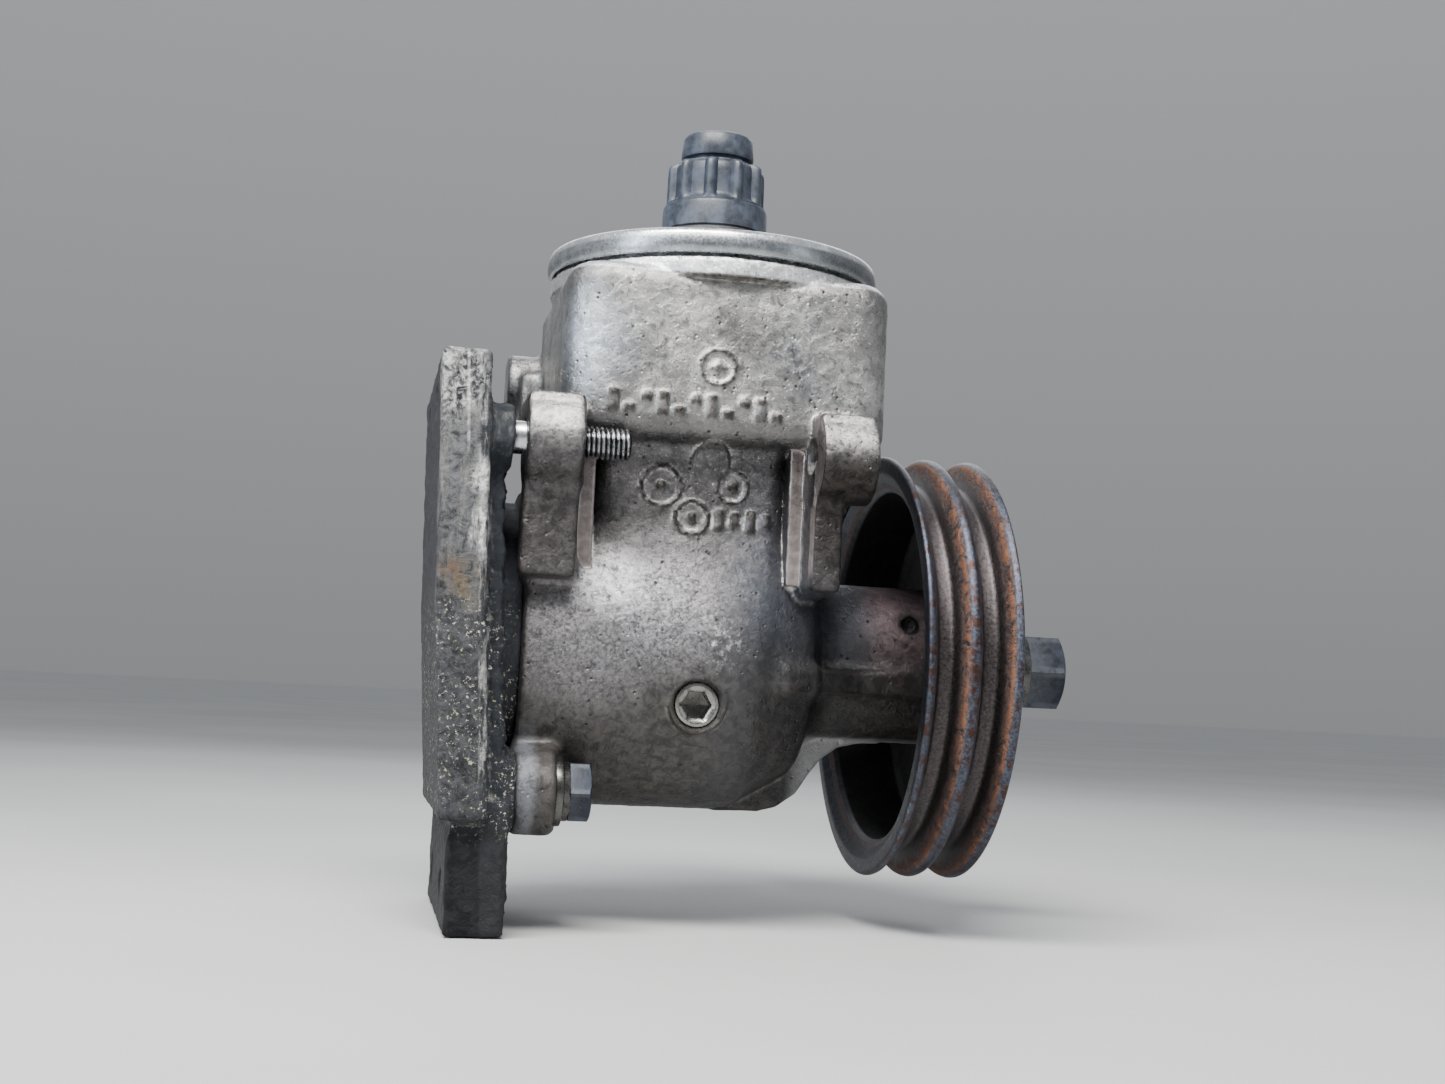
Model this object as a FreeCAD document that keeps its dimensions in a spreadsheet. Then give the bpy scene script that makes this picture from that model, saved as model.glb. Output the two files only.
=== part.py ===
import FreeCAD, Part

import math
import os

import Sketcher
from FreeCAD import Placement, Rotation, Vector

# Belt-driven vane pump with an oil reservoir cast on top and a mounting bracket behind.
# Millimetres. Origin: on the drive axis, on the engine face of the bracket.
# +X runs along the shaft to the pulley, +Z up to the reservoir lid.

SIZES = {
    # bracket
    "plate_thick": 16.0, "pad_depth": 11.0, "plate_top": 85.0, "plate_step": 53.0,
    "plate_front": 62.0, "plate_back": 56.0, "foot_drop": 33.0, "foot_offset": 7.6,
    "foot_thick": 18.4, "engine_hole_rad": 5.25, "engine_row_y": 28.0, "engine_row_z": 74.0,
    "pad_rim": 4.0, "stud_pad_rad": 12.0, "stud_gap": 3.5,
    # housing, outside
    "body_rad": 50.0, "body_len": 75.0, "nose_len": 17.0, "nose_rad": 38.0, "throat_len": 8.0,
    "snout_rad": 26.0, "snout_len": 51.0, "waist_start": 21.0, "waist_len": 60.0,
    "waist_half": 40.0, "rib_thick": 8.0,
    "tank_start": 8.5, "tank_len": 103.0, "tank_half": 50.0, "tank_bottom": 67.0,
    "tank_top": 119.0, "tank_corner": 14.0, "tank_round": 9.0, "tank_wall": 6.0,
    "neck_rad": 53.5, "neck_low": 115.7, "neck_top": 122.5, "neck_wall": 7.0, "spigot_high": 2.8,
    # ears and their bores
    "ear_y": 52.0, "ear_z": 61.0, "ear_rad": 13.6, "ear_bore": 5.25, "ear_start": 24.0,
    "ear_len": 17.0, "lug_start": 113.0, "lug_len": 18.0, "web_low": 20.0, "strip_thick": 6.0,
    "lug_web": 9.5, "keel_thick": 12.0,
    "foot_boss_y": 43.0, "foot_boss_z": 44.0, "foot_boss_rad": 12.5, "foot_boss_len": 12.0,
    # metric fasteners
    "screw_rad": 5.0, "screw_clear": 0.25, "screw_flats": 17.0, "screw_head": 6.5,
    "screw_grip": 19.0, "washer_rad": 10.5, "washer_thick": 4.5, "stud_reach": 14.8,
    # shaft and its bearing
    "shaft_rad": 8.0, "journal_rad": 10.0, "running_gap": 0.05, "mid_wall": 26.0,
    "bearing_out": 21.0, "bearing_wide": 12.0, "ball_rad": 3.175, "ball_pitch": 15.5,
    "ball_gap": 0.06, "ball_count": 9.0, "clip_thick": 1.75, "clip_lip": 1.25, "clip_bite": 1.4,
    "seal_out": 17.5, "seal_wide": 7.0, "seal_gap": 0.4, "drain_rad": 2.0, "collar_rad": 12.4,
    # pump cartridge
    "chamber_rad": 42.0, "chamber_lip": 2.0, "ring_thick": 2.0, "cover_thick": 8.0,
    "spring_gap": 4.0, "rear_plate_thick": 8.0, "cam_wide": 15.0, "port_plate_thick": 6.0,
    "cam_out": 37.0, "cam_small": 23.2, "cam_lobe": 2.4, "rotor_rad": 22.0, "side_gap": 0.05,
    "vane_thick": 1.9, "vane_gap": 0.06, "vane_low": 13.5, "vane_tip": 22.1, "slot_low": 12.8,
    "vane_count": 10.0, "dowel_rad": 2.0, "dowel_place": 30.0, "cord_rad": 1.2,
    # flow valve
    "valve_x": 81.2, "valve_drop": 16.2, "spool_rad": 6.0, "spool_gap": 0.06, "spool_len": 26.0,
    "valve_start": 34.0, "valve_spring_len": 30.0, "plug_rad": 7.0, "plug_len": 13.0,
    "plug_socket": 8.0, "port_rad": 8.0, "port_reach": 60.0,
    # reservoir lid and nut
    "lid_x": 87.8, "lid_rad": 55.0, "lid_thick": 2.2, "lid_top": 130.5, "lid_rise": 7.0,
    "lid_hub": 24.0, "band_thick": 3.0, "knob_rad": 17.6, "knob_collar": 9.5,
    "knob_grip_rad": 16.4, "knob_grip": 14.3, "knob_tip_rad": 11.2, "knob_tip": 10.3,
    "flute_count": 10.0, "flute_rad": 2.0, "post_top": 158.0, "post_root": 60.0,
    "filter_out": 38.0, "filter_in": 12.0, "filter_high": 34.0, "cup_thick": 1.5,
    # pulley
    "rim_start": 147.0, "rim_rad": 70.0, "groove_depth": 9.5, "groove_pitch": 14.35,
    "rim_land": 1.8, "groove_floor": 5.0, "sheet": 2.5, "dish": 16.5, "hub_rad": 17.0,
    "hub_face": 197.0, "seat_rad": 9.0, "key_wide": 5.0, "key_len": 14.0, "key_rise": 2.2,
    "nut_flats": 24.0, "nut_high": 13.0, "nut_washer_rad": 14.0, "nut_washer": 3.5,
    "thread_rad": 8.0, "tail": 1.5,
    # pipe fittings on the back
    "union_rad": 11.0, "union_len": 12.0, "pipe_x": 62.0, "pipe_z": 92.0, "pipe_rad": 7.0,
    "pipe_bore": 5.0, "pipe_len": 24.0,
}

doc = FreeCAD.newDocument("vane_pump")
sheet = doc.addObject("Spreadsheet::Sheet", "Sizes")


class Size:
    """A length that carries its value and the sheet expression it is bound to."""

    def __init__(self, value, text):
        self.v = float(value)
        self.t = text

    def __add__(self, other):
        other = size(other)
        return Size(self.v + other.v, "(%s + %s)" % (self.t, other.t))

    def __sub__(self, other):
        other = size(other)
        return Size(self.v - other.v, "(%s - %s)" % (self.t, other.t))

    def __mul__(self, other):
        other = size(other)
        return Size(self.v * other.v, "(%s * %s)" % (self.t, other.t))

    def __truediv__(self, other):
        other = size(other)
        return Size(self.v / other.v, "(%s / %s)" % (self.t, other.t))

    def __neg__(self):
        return Size(-self.v, "(0 - %s)" % self.t)

    __radd__ = __add__
    __rmul__ = __mul__

    def __rsub__(self, other):
        return size(other) - self


def size(value):
    return value if isinstance(value, Size) else Size(value, repr(float(value)))


class Sizes:
    """Named sizes: one row of the sheet each."""


S = Sizes()
for row, (alias, number) in enumerate(SIZES.items(), start=1):
    sheet.set("A%d" % row, alias.replace("_", " "))
    sheet.set("B%d" % row, repr(number))
    sheet.setAlias("B%d" % row, alias)
    setattr(S, alias, Size(number, "Sizes." + alias))
doc.recompute()

TURN = {"X": Rotation(), "Y": Rotation(Vector(0, 0, 1), 90), "Z": Rotation(Vector(0, 1, 0), -90)}
ALONG = {"X": Rotation(Vector(0, 1, 0), 90), "Y": Rotation(Vector(1, 0, 0), -90), "Z": Rotation()}
NODES = []
serial = {}


def named(stem):
    serial[stem] = serial.get(stem, 0) + 1
    return "%s_%02d" % (stem, serial[stem])


def bind(thing, prop, value):
    thing.setExpression(prop, size(value).t)


def put(thing, at, rotation=None):
    """Place an object at a bound point, turned by a fixed rotation."""
    thing.Placement = Placement(Vector(*[size(c).v for c in at]), rotation or Rotation())
    for axis, value in zip("xyz", at):
        bind(thing, "Placement.Base." + axis, value)
    return thing


def node(thing, label):
    thing.Label = label
    NODES.append(thing)
    return thing


def box(x0, y0, z0, x1, y1, z1):
    made = doc.addObject("Part::Box", named("block"))
    for prop, low, high in (("Length", x0, x1), ("Width", y0, y1), ("Height", z0, z1)):
        bind(made, prop, size(high) - low)
    return put(made, (x0, y0, z0))


def rod(axis, at, radius, length):
    made = doc.addObject("Part::Cylinder", named("rod"))
    bind(made, "Radius", radius)
    bind(made, "Height", length)
    return put(made, at, ALONG[axis])


def hexagon(axis, at, flats, length):
    made = doc.addObject("Part::Prism", named("hexagon"))
    made.Polygon = 6
    bind(made, "Circumradius", size(flats) / size(math.sqrt(3.0)))
    bind(made, "Height", length)
    return put(made, at, ALONG[axis])


def ring_cord(axis, at, pitch, radius):
    made = doc.addObject("Part::Torus", named("cord"))
    bind(made, "Radius1", pitch)
    bind(made, "Radius2", radius)
    return put(made, at, ALONG[axis])


def ball(at, radius):
    made = doc.addObject("Part::Sphere", named("ball"))
    bind(made, "Radius", radius)
    return put(made, at)


def join(*things):
    made = doc.addObject("Part::MultiFuse", named("joined"))
    made.Shapes = list(things)
    return made


def cut(base, *tools):
    made = doc.addObject("Part::Cut", named("cut"))
    made.Base = base
    made.Tool = tools[0] if len(tools) == 1 else join(*tools)
    return made


def outline(body, plane, points):
    """A closed polygon sketch on one of the body's own planes, every corner bound."""
    sketch = body.newObject("Sketcher::SketchObject", named("sketch"))
    origin = [f for f in body.Origin.OriginFeatures if f.Role == plane][0]
    sketch.AttachmentSupport = [(origin, "")]
    sketch.MapMode = "FlatFace"
    pairs = [(size(a), size(b)) for a, b in points]
    count = len(pairs)
    for k, (a, b) in enumerate(pairs):
        c, d = pairs[(k + 1) % count]
        sketch.addGeometry(Part.LineSegment(Vector(a.v, b.v, 0), Vector(c.v, d.v, 0)), False)
    for k in range(count):
        sketch.addConstraint(Sketcher.Constraint("Coincident", k, 2, (k + 1) % count, 1))
    for k, (a, b) in enumerate(pairs):
        for kind, value in (("DistanceX", a), ("DistanceY", b)):
            index = sketch.addConstraint(Sketcher.Constraint(kind, k, 1, value.v))
            sketch.setExpression("Constraints[%d]" % index, value.t)
    return sketch


def turned(axis, at, profile):
    """Round piece: (station along the axis, radius) corners revolved once."""
    body = doc.addObject("PartDesign::Body", named("turned"))
    sketch = outline(body, "XY_Plane", profile)
    spin = body.newObject("PartDesign::Revolution", named("spin"))
    spin.Profile = sketch
    spin.ReferenceAxis = (sketch, ["H_Axis"])
    spin.Angle = 360
    return put(body, at, TURN[axis])


def padded(plane, at, points, length, middle=False):
    """Flat piece: corners on a plane, padded along that plane's normal."""
    body = doc.addObject("PartDesign::Body", named("padded"))
    sketch = outline(body, plane, points)
    pad = body.newObject("PartDesign::Pad", named("pad"))
    pad.Profile = sketch
    pad.Midplane = middle
    bind(pad, "Length", length)
    return put(body, at)


def rounded_block(x0, y0, z0, x1, y1, z1, corner, edge):
    """A block with rounded upright corners and rounded top and bottom edges."""
    body = doc.addObject("PartDesign::Body", named("rounded"))
    wide, deep = size(x1) - x0, size(y1) - y0
    sketch = outline(body, "XY_Plane", [(0, 0), (wide, 0), (wide, deep), (0, deep)])
    pad = body.newObject("PartDesign::Pad", named("pad"))
    pad.Profile = sketch
    bind(pad, "Length", size(z1) - z0)
    doc.recompute()
    uprights = ["Edge%d" % (k + 1) for k, e in enumerate(pad.Shape.Edges)
                if abs(e.Vertexes[0].Z - e.Vertexes[1].Z) > 1]
    first = body.newObject("PartDesign::Fillet", named("corner"))
    first.Base = (pad, uprights)
    bind(first, "Radius", corner)
    doc.recompute()
    flats = ["Edge%d" % (k + 1) for k, e in enumerate(first.Shape.Edges)
             if e.BoundBox.ZLength < 0.001]
    second = body.newObject("PartDesign::Fillet", named("edge"))
    second.Base = (first, flats)
    bind(second, "Radius", edge)
    return put(body, (x0, y0, z0))


# ---------------------------------------------------------------- stations along the shaft
seat = S.plate_thick + S.pad_depth
ring_at = seat + S.chamber_lip
cover_at = ring_at + S.ring_thick
spring_at = cover_at + S.cover_thick
rear_plate_at = spring_at + S.spring_gap
cam_at = rear_plate_at + S.rear_plate_thick
port_plate_at = cam_at + S.cam_wide
chamber_end = port_plate_at + S.port_plate_thick
step_at = chamber_end + S.mid_wall
body_end = seat + S.body_len
nose_end = body_end + S.nose_len
snout_at = nose_end + S.throat_len
snout_end = snout_at + S.snout_len
seal_at = body_end + 18.0
seal_end = seal_at + S.seal_wide
clip_at = snout_end - S.clip_lip - S.clip_thick
bearing_at = clip_at - S.bearing_wide
bearing_mid = bearing_at + S.bearing_wide / 2.0
boss_end = seat + S.foot_boss_len
ear_end = S.ear_start + S.ear_len
lug_end = S.lug_start + S.lug_len
lug_web_end = S.lug_start + S.lug_web
tank_at = seat + S.tank_start
tank_end = tank_at + S.tank_len
waist_at = seat + S.waist_start
waist_end = waist_at + S.waist_len
inner_bottom = S.tank_bottom + S.tank_wall + 3.0
inner_top = S.neck_low - 2.7
neck_in = S.neck_rad - S.neck_wall
spigot_rad = S.lid_rad - S.lid_thick - 0.3
spigot_top = S.neck_top + S.spigot_high
cap_under = S.lid_top - S.lid_thick
band_at = S.lid_top + S.lid_rise
knob_at = band_at + S.band_thick
face_y = -S.body_rad

# ---------------------------------------------------------------- housing
outer = turned("X", (0, 0, 0), [
    (seat, 0), (seat, S.body_rad), (body_end - 6.0, S.body_rad),
    (body_end - 2.0, S.body_rad - 0.8), (body_end + 1.0, S.body_rad - 2.4),
    (nose_end, S.nose_rad), (nose_end + 1.8, S.nose_rad - 3.5),
    (nose_end + 3.2, S.snout_rad + 4.6), (nose_end + 5.2, S.snout_rad + 1.6),
    (snout_at, S.snout_rad), (snout_end - 1.2, S.snout_rad),
    (snout_end, S.snout_rad - 1.2), (snout_end, 0)])
waist = box(waist_at, -S.waist_half, 20, waist_end, S.waist_half, S.tank_bottom + 8.0)
tank = rounded_block(tank_at, -S.tank_half, S.tank_bottom, tank_end, S.tank_half, S.tank_top,
                     S.tank_corner, S.tank_round)
neck = turned("Z", (S.lid_x, 0, 0), [
    (S.neck_low, 0), (S.neck_low, S.neck_rad), (S.neck_top, S.neck_rad),
    (S.neck_top, spigot_rad), (spigot_top, spigot_rad), (spigot_top, 0)])


def ear(start, length, web_start, web_end):
    end = start + length
    return [
        rod("X", (start, -S.ear_y, S.ear_z), S.ear_rad, length),
        box(web_start, -S.ear_y - 4.0, S.web_low, web_end, -S.waist_half + 8.0, S.ear_z),
        box(start, -S.ear_y, S.ear_z - 6.0, end, -S.waist_half + 8.0,
            S.ear_z + S.ear_rad - 0.6)]


strip_low = S.web_low + 4.0
strip_high = S.ear_z + S.ear_rad
left_ear = ear(S.ear_start, S.ear_len, seat, ear_end) + [
    box(seat, -S.waist_half - 4.0, S.web_low, ear_end, -S.waist_half + 16.0, S.tank_bottom + 6.0),
    box(ear_end, -S.waist_half - 4.0, strip_low, ear_end + S.strip_thick, -S.waist_half + 16.0,
        strip_high)]
right_lug = ear(S.lug_start, S.lug_len, S.lug_start, lug_web_end) + [
    box(S.lug_start, -S.waist_half - 4.0, S.web_low, lug_web_end, -S.waist_half + 16.0,
        S.tank_bottom + 6.0),
    box(S.lug_start - S.strip_thick + 1.0, -S.waist_half - 4.0, strip_low, S.lug_start,
        -S.waist_half + 16.0, strip_high)]


def foot_boss(side):
    y = S.foot_boss_y * side
    reach = S.foot_boss_y * (0.55 * side)
    low, high = (y, reach) if side < 0 else (reach, y)
    return [rod("X", (seat, y, -S.foot_boss_z), S.foot_boss_rad, S.foot_boss_len),
            box(seat, low, -S.foot_boss_z - S.foot_boss_rad + 0.4, boss_end, high,
                -S.foot_boss_z + S.foot_boss_rad)]


rib = padded("XY_Plane", (0, 0, -S.rib_thick / 2.0 - 7.0), [
    (body_end - 2.0, -S.body_rad + 8.0), (body_end + 8.0, -S.body_rad + 4.0),
    (nose_end + 3.0, -S.nose_rad), (snout_at + 10.0, -S.snout_rad - 4.0),
    (snout_end - 16.0, -S.snout_rad + 1.0), (snout_end - 16.0, 0), (body_end - 2.0, 0)],
    S.rib_thick)
back_rib = padded("XY_Plane", (0, 0, -S.rib_thick / 2.0 - 7.0), [
    (body_end - 2.0, S.body_rad - 8.0), (body_end + 8.0, S.body_rad - 4.0),
    (nose_end + 3.0, S.nose_rad), (snout_at + 10.0, S.snout_rad + 4.0),
    (snout_end - 16.0, S.snout_rad - 1.0), (snout_end - 16.0, 0), (body_end - 2.0, 0)],
    S.rib_thick)
saddle = padded("XZ_Plane", (0, 8.0, 0), [
    (body_end - 4.0, 30.0), (body_end + 22.0, 24.0), (tank_end - 6.0, S.tank_bottom + 4.0),
    (body_end - 4.0, S.tank_bottom + 4.0)], 16.0)
keel = padded("XZ_Plane", (0, S.keel_thick / 2.0, 0), [
    (body_end - 6.0, -S.body_rad), (body_end + 9.0, -S.body_rad),
    (body_end + 14.5, -S.body_rad + 1.4), (nose_end + 4.0, -S.body_rad + 6.0),
    (snout_at, -S.body_rad + 12.0), (snout_at + 4.0, -S.snout_rad - 6.6),
    (snout_at + 10.0, -S.snout_rad - 2.2), (snout_at + 19.0, -S.snout_rad),
    (snout_at + 19.0, -S.snout_rad + 6.0), (body_end - 6.0, -S.snout_rad + 6.0)], S.keel_thick)
plug_ring = rod("Y", (S.valve_x, face_y + 1.2, -S.valve_drop), S.plug_rad + 2.6, 20.0)
port_boss = rod("Y", (S.valve_x, 30.0, -S.valve_drop), S.port_rad + 7.0, S.port_reach - 30.0)
pipe_boss = rod("Y", (S.pipe_x, S.tank_half - 4.0, S.pipe_z), S.pipe_rad + 4.0, 9.0)
crown = rod("X", (seat - 3.0, 40.0, S.plate_top + 7.0), 10.0, 16.0)
crown_web = box(seat + 1.0, 24.0, S.tank_bottom + 5.0, seat + 13.0, 44.0, S.plate_top + 9.0)
casting = join(outer, waist, tank, neck, rib, back_rib, saddle, keel, plug_ring, port_boss,
               pipe_boss, crown, crown_web, *(left_ear + right_lug + foot_boss(-1) + foot_boss(1)))

chamber = turned("X", (0, 0, 0), [
    (seat - 10.0, 0), (seat - 10.0, S.chamber_rad), (ring_at, S.chamber_rad),
    (ring_at, S.chamber_rad + 1.5), (cover_at, S.chamber_rad + 1.5), (cover_at, S.chamber_rad),
    (chamber_end, S.chamber_rad), (chamber_end, S.shaft_rad + S.running_gap),
    (step_at, S.shaft_rad + S.running_gap), (step_at, S.journal_rad + 0.5),
    (seal_at, S.journal_rad + 0.5), (seal_at, S.seal_out), (seal_end, S.seal_out),
    (seal_end, S.seal_out + 1.0), (bearing_at, S.seal_out + 1.0), (bearing_at, S.bearing_out),
    (clip_at, S.bearing_out), (clip_at, S.bearing_out + S.clip_bite),
    (clip_at + S.clip_thick, S.bearing_out + S.clip_bite),
    (clip_at + S.clip_thick, S.bearing_out), (snout_end + 10.0, S.bearing_out),
    (snout_end + 10.0, 0)])
oil_space = rounded_block(
    tank_at + S.tank_wall, -S.tank_half + S.tank_wall, inner_bottom, tank_end - S.tank_wall,
    S.tank_half - S.tank_wall, inner_top, S.tank_corner - S.tank_wall, 4.0)
neck_bore = rod("Z", (S.lid_x, 0, inner_top - 8.0), neck_in, 30.0)
suction = rod("Z", (cam_at + 9.0, 0, S.chamber_rad - 12.0), 6.0,
              inner_bottom - S.chamber_rad + 14.0)
valve_bore = rod("Y", (S.valve_x, -S.valve_start, -S.valve_drop), S.spool_rad + S.spool_gap,
                 S.spool_len + S.valve_spring_len + 8.0)
plug_bore = rod("Y", (S.valve_x, -S.valve_start - S.plug_len, -S.valve_drop), S.plug_rad,
                S.plug_len)
plug_recess = rod("Y", (S.valve_x, face_y - 12.0, -S.valve_drop), S.plug_rad + 0.6,
                  S.body_rad + 12.0 - S.valve_start - S.plug_len)
port_bore = rod("Y", (S.valve_x, S.port_reach - 16.0, -S.valve_drop), S.port_rad, 30.0)
link_bore = rod("X", (chamber_end - 2.0, 0, -S.valve_drop), 2.5, S.valve_x - chamber_end + 2.0)
bypass = rod("Z", (S.valve_x, 26.0, -S.valve_drop), 3.5, inner_bottom + S.valve_drop + 2.0)
ear_bore = rod("X", (S.ear_start - 1.0, -S.ear_y, S.ear_z), S.ear_bore, S.ear_len + 2.0)
lug_bore = rod("X", (S.lug_start - 1.0, -S.ear_y, S.ear_z), S.ear_bore, S.lug_len + 2.0)
foot_bores = [rod("X", (seat - 1.0, S.foot_boss_y * side, -S.foot_boss_z),
                  S.screw_rad + S.screw_clear, S.foot_boss_len + 2.0) for side in (-1.0, 1.0)]
post_bore = rod("Z", (S.lid_x, 0, S.post_root), S.screw_rad, S.tank_bottom)
drain = rod("Y", (155.6, -S.snout_rad - 5.0, 12.6), S.drain_rad, 16.0)
pipe_bore = rod("Y", (S.pipe_x, S.tank_half - 12.0, S.pipe_z), S.pipe_rad, 30.0)
dowel_bores = [rod("X", (chamber_end - 1.0, 0, S.dowel_place * side), S.dowel_rad, 5.0)
               for side in (-1.0, 1.0)]
node(cut(casting, chamber, oil_space, neck_bore, suction, valve_bore, plug_bore, plug_recess,
         port_bore, link_bore, bypass, ear_bore, lug_bore, post_bore, drain, pipe_bore,
         *(foot_bores + dowel_bores)), "housing")

# ---------------------------------------------------------------- bracket
foot_low = S.plate_step + S.foot_drop
plate = padded("YZ_Plane", (0, 0, 0), [
    (-S.plate_front, -S.plate_step), (S.plate_back - 6.0, -S.plate_step),
    (S.plate_back, -S.plate_step + 14.0), (S.plate_back, S.plate_top - 18.0),
    (S.plate_back - 18.0, S.plate_top),
    (-S.plate_front + 6.0, S.plate_top), (-S.plate_front, S.plate_top - 5.0)], S.plate_thick)
foot = box(S.foot_offset, -S.plate_front + 4.0, -foot_low, S.foot_offset + S.foot_thick,
           S.plate_back - 10.0, -S.plate_step + 6.0)
pad_disc = rod("X", (S.plate_thick - 1.0, 0, 0), S.body_rad - S.pad_rim, S.pad_depth + 1.0)
rear_web = box(S.plate_thick - 1.0, -S.plate_front + 12.0, -S.plate_step + 3.0, S.plate_thick + 3.0,
               S.plate_back - 12.0, 40.0)
pads = [rod("X", (S.plate_thick - 1.0, S.foot_boss_y * side, -S.foot_boss_z),
            S.foot_boss_rad, S.pad_depth + 1.0) for side in (-1.0, 1.0)]
pads.append(rod("X", (S.plate_thick - 1.0, -S.ear_y, S.ear_z), S.stud_pad_rad,
                S.ear_start - S.stud_gap - S.plate_thick + 1.0))
plate_holes = [rod("X", (-1.0, S.engine_row_y * a, S.engine_row_z * b), S.engine_hole_rad, 40.0)
               for a in (-1.0, 1.0) for b in (-1.0, 1.0)]
tapped = [rod("X", (5.0, S.foot_boss_y * side, -S.foot_boss_z), S.screw_rad, 30.0)
          for side in (-1.0, 1.0)]
stud_hole = rod("X", (4.0, -S.ear_y, S.ear_z), S.screw_rad, 30.0)
shaft_pocket = rod("X", (seat - 6.0, 0, 0), S.chamber_rad - 4.0, 20.0)
node(cut(join(plate, foot, pad_disc, rear_web, *pads),
         stud_hole, shaft_pocket, *(plate_holes + tapped)), "mounting_bracket")
node(rod("X", (4.0, -S.ear_y, S.ear_z), S.screw_rad, ear_end + S.stud_reach - 4.0), "pivot_stud")
head_at = boss_end + S.washer_thick
bolts = []
for side in (-1.0, 1.0):
    spot = (S.foot_boss_y * side, -S.foot_boss_z)
    bolts.append(rod("X", (8.0, spot[0], spot[1]), S.screw_rad, head_at - 7.0))
    bolts.append(hexagon("X", (head_at, spot[0], spot[1]), S.screw_flats, S.screw_head))
node(join(*bolts), "bracket_bolts")
washers = []
for side in (-1.0, 1.0):
    at = (boss_end, S.foot_boss_y * side, -S.foot_boss_z)
    washers.append(cut(rod("X", at, S.washer_rad, S.washer_thick),
                       rod("X", at, S.screw_rad, S.washer_thick)))
node(join(*washers), "bolt_washers")

# ---------------------------------------------------------------- shaft, bearing and seal
collar_at = bearing_at - 3.0
hub_start = S.hub_face - 12.0
thread_end = S.hub_face + S.nut_washer + S.nut_high + S.tail
key_at = S.hub_face - 3.0 - S.key_len
shaft_body = turned("X", (0, 0, 0), [
    (cam_at - 5.0, 0), (cam_at - 5.0, S.shaft_rad), (step_at + 1.0, S.shaft_rad),
    (step_at + 1.0, S.journal_rad), (collar_at, S.journal_rad), (collar_at, S.collar_rad),
    (bearing_at, S.collar_rad), (bearing_at, S.journal_rad),
    (clip_at, S.journal_rad), (clip_at, S.seat_rad), (S.hub_face, S.seat_rad),
    (S.hub_face, S.thread_rad), (thread_end - 1.0, S.thread_rad), (thread_end, S.thread_rad - 1.0),
    (thread_end, 0)])
key_low = S.seat_rad - 3.0
key_top = S.seat_rad + S.key_rise
node(cut(shaft_body, box(key_at, -S.key_wide / 2.0, key_low, key_at + S.key_len,
                         S.key_wide / 2.0, key_top + 4.0)), "drive_shaft")
node(box(key_at, -S.key_wide / 2.0, key_low, key_at + S.key_len, S.key_wide / 2.0, key_top),
     "pulley_key")
race_rad = S.ball_rad + S.ball_gap


def race(inner_rad, outer_rad):
    band = turned("X", (0, 0, 0), [(bearing_at, inner_rad), (clip_at, inner_rad),
                                   (clip_at, outer_rad), (bearing_at, outer_rad)])
    return cut(band, ring_cord("X", (bearing_mid, 0, 0), S.ball_pitch, race_rad))


node(race(S.journal_rad, S.ball_pitch - 2.0), "bearing_inner_ring")
node(race(S.ball_pitch + 2.0, S.bearing_out), "bearing_outer_ring")


def ball_spots():
    count = int(S.ball_count.v)
    for k in range(count):
        angle = 2.0 * math.pi * k / count
        yield bearing_mid, S.ball_pitch * math.cos(angle), S.ball_pitch * math.sin(angle)


node(join(*[ball(spot, S.ball_rad) for spot in ball_spots()]), "bearing_balls")
cage_half = S.ball_rad + 0.9
cage = turned("X", (0, 0, 0), [
    (bearing_mid - cage_half, S.ball_pitch - 1.1), (bearing_mid + cage_half, S.ball_pitch - 1.1),
    (bearing_mid + cage_half, S.ball_pitch + 1.1), (bearing_mid - cage_half, S.ball_pitch + 1.1)])
node(cut(cage, *[ball(spot, S.ball_rad + 0.02) for spot in ball_spots()]), "bearing_cage")
clip_in = S.bearing_out - 2.6
clip = turned("X", (0, 0, 0), [
    (clip_at, clip_in), (clip_at + S.clip_thick, clip_in),
    (clip_at + S.clip_thick, S.bearing_out + S.clip_bite - 0.1),
    (clip_at, S.bearing_out + S.clip_bite - 0.1)])
node(cut(clip, box(clip_at - 1.0, -30, -4.0, clip_at + 4.0, 0, 4.0)), "bearing_circlip")
lip_rad = S.journal_rad + S.seal_gap
node(turned("X", (0, 0, 0), [
    (seal_at, lip_rad + 1.0), (seal_at + 2.2, lip_rad), (seal_at + 3.2, lip_rad),
    (seal_at + 2.6, lip_rad + 2.2), (seal_end - 1.4, lip_rad + 2.2), (seal_end - 1.4, lip_rad + 1.0),
    (seal_end, lip_rad + 1.0), (seal_end, S.seal_out), (seal_at, S.seal_out)]), "shaft_seal")

# ---------------------------------------------------------------- pump cartridge
cartridge_rad = S.chamber_rad - 0.1


def cord_groove(station):
    return cut(rod("X", (station - 1.3, 0, 0), S.chamber_rad + 5.0, 2.6),
               rod("X", (station - 1.3, 0, 0), S.chamber_rad - 2.0 * S.cord_rad - 0.1, 2.6))


def port_slots(start, length):
    return [rod("X", (start, S.cam_small * 0.82 * a, S.cam_small * 0.52 * b), 3.0, length)
            for a in (-1.0, 1.0) for b in (-1.0, 1.0)]


def dowels(start, length, radius):
    return [rod("X", (start, 0, S.dowel_place * side), radius, length) for side in (-1.0, 1.0)]


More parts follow.
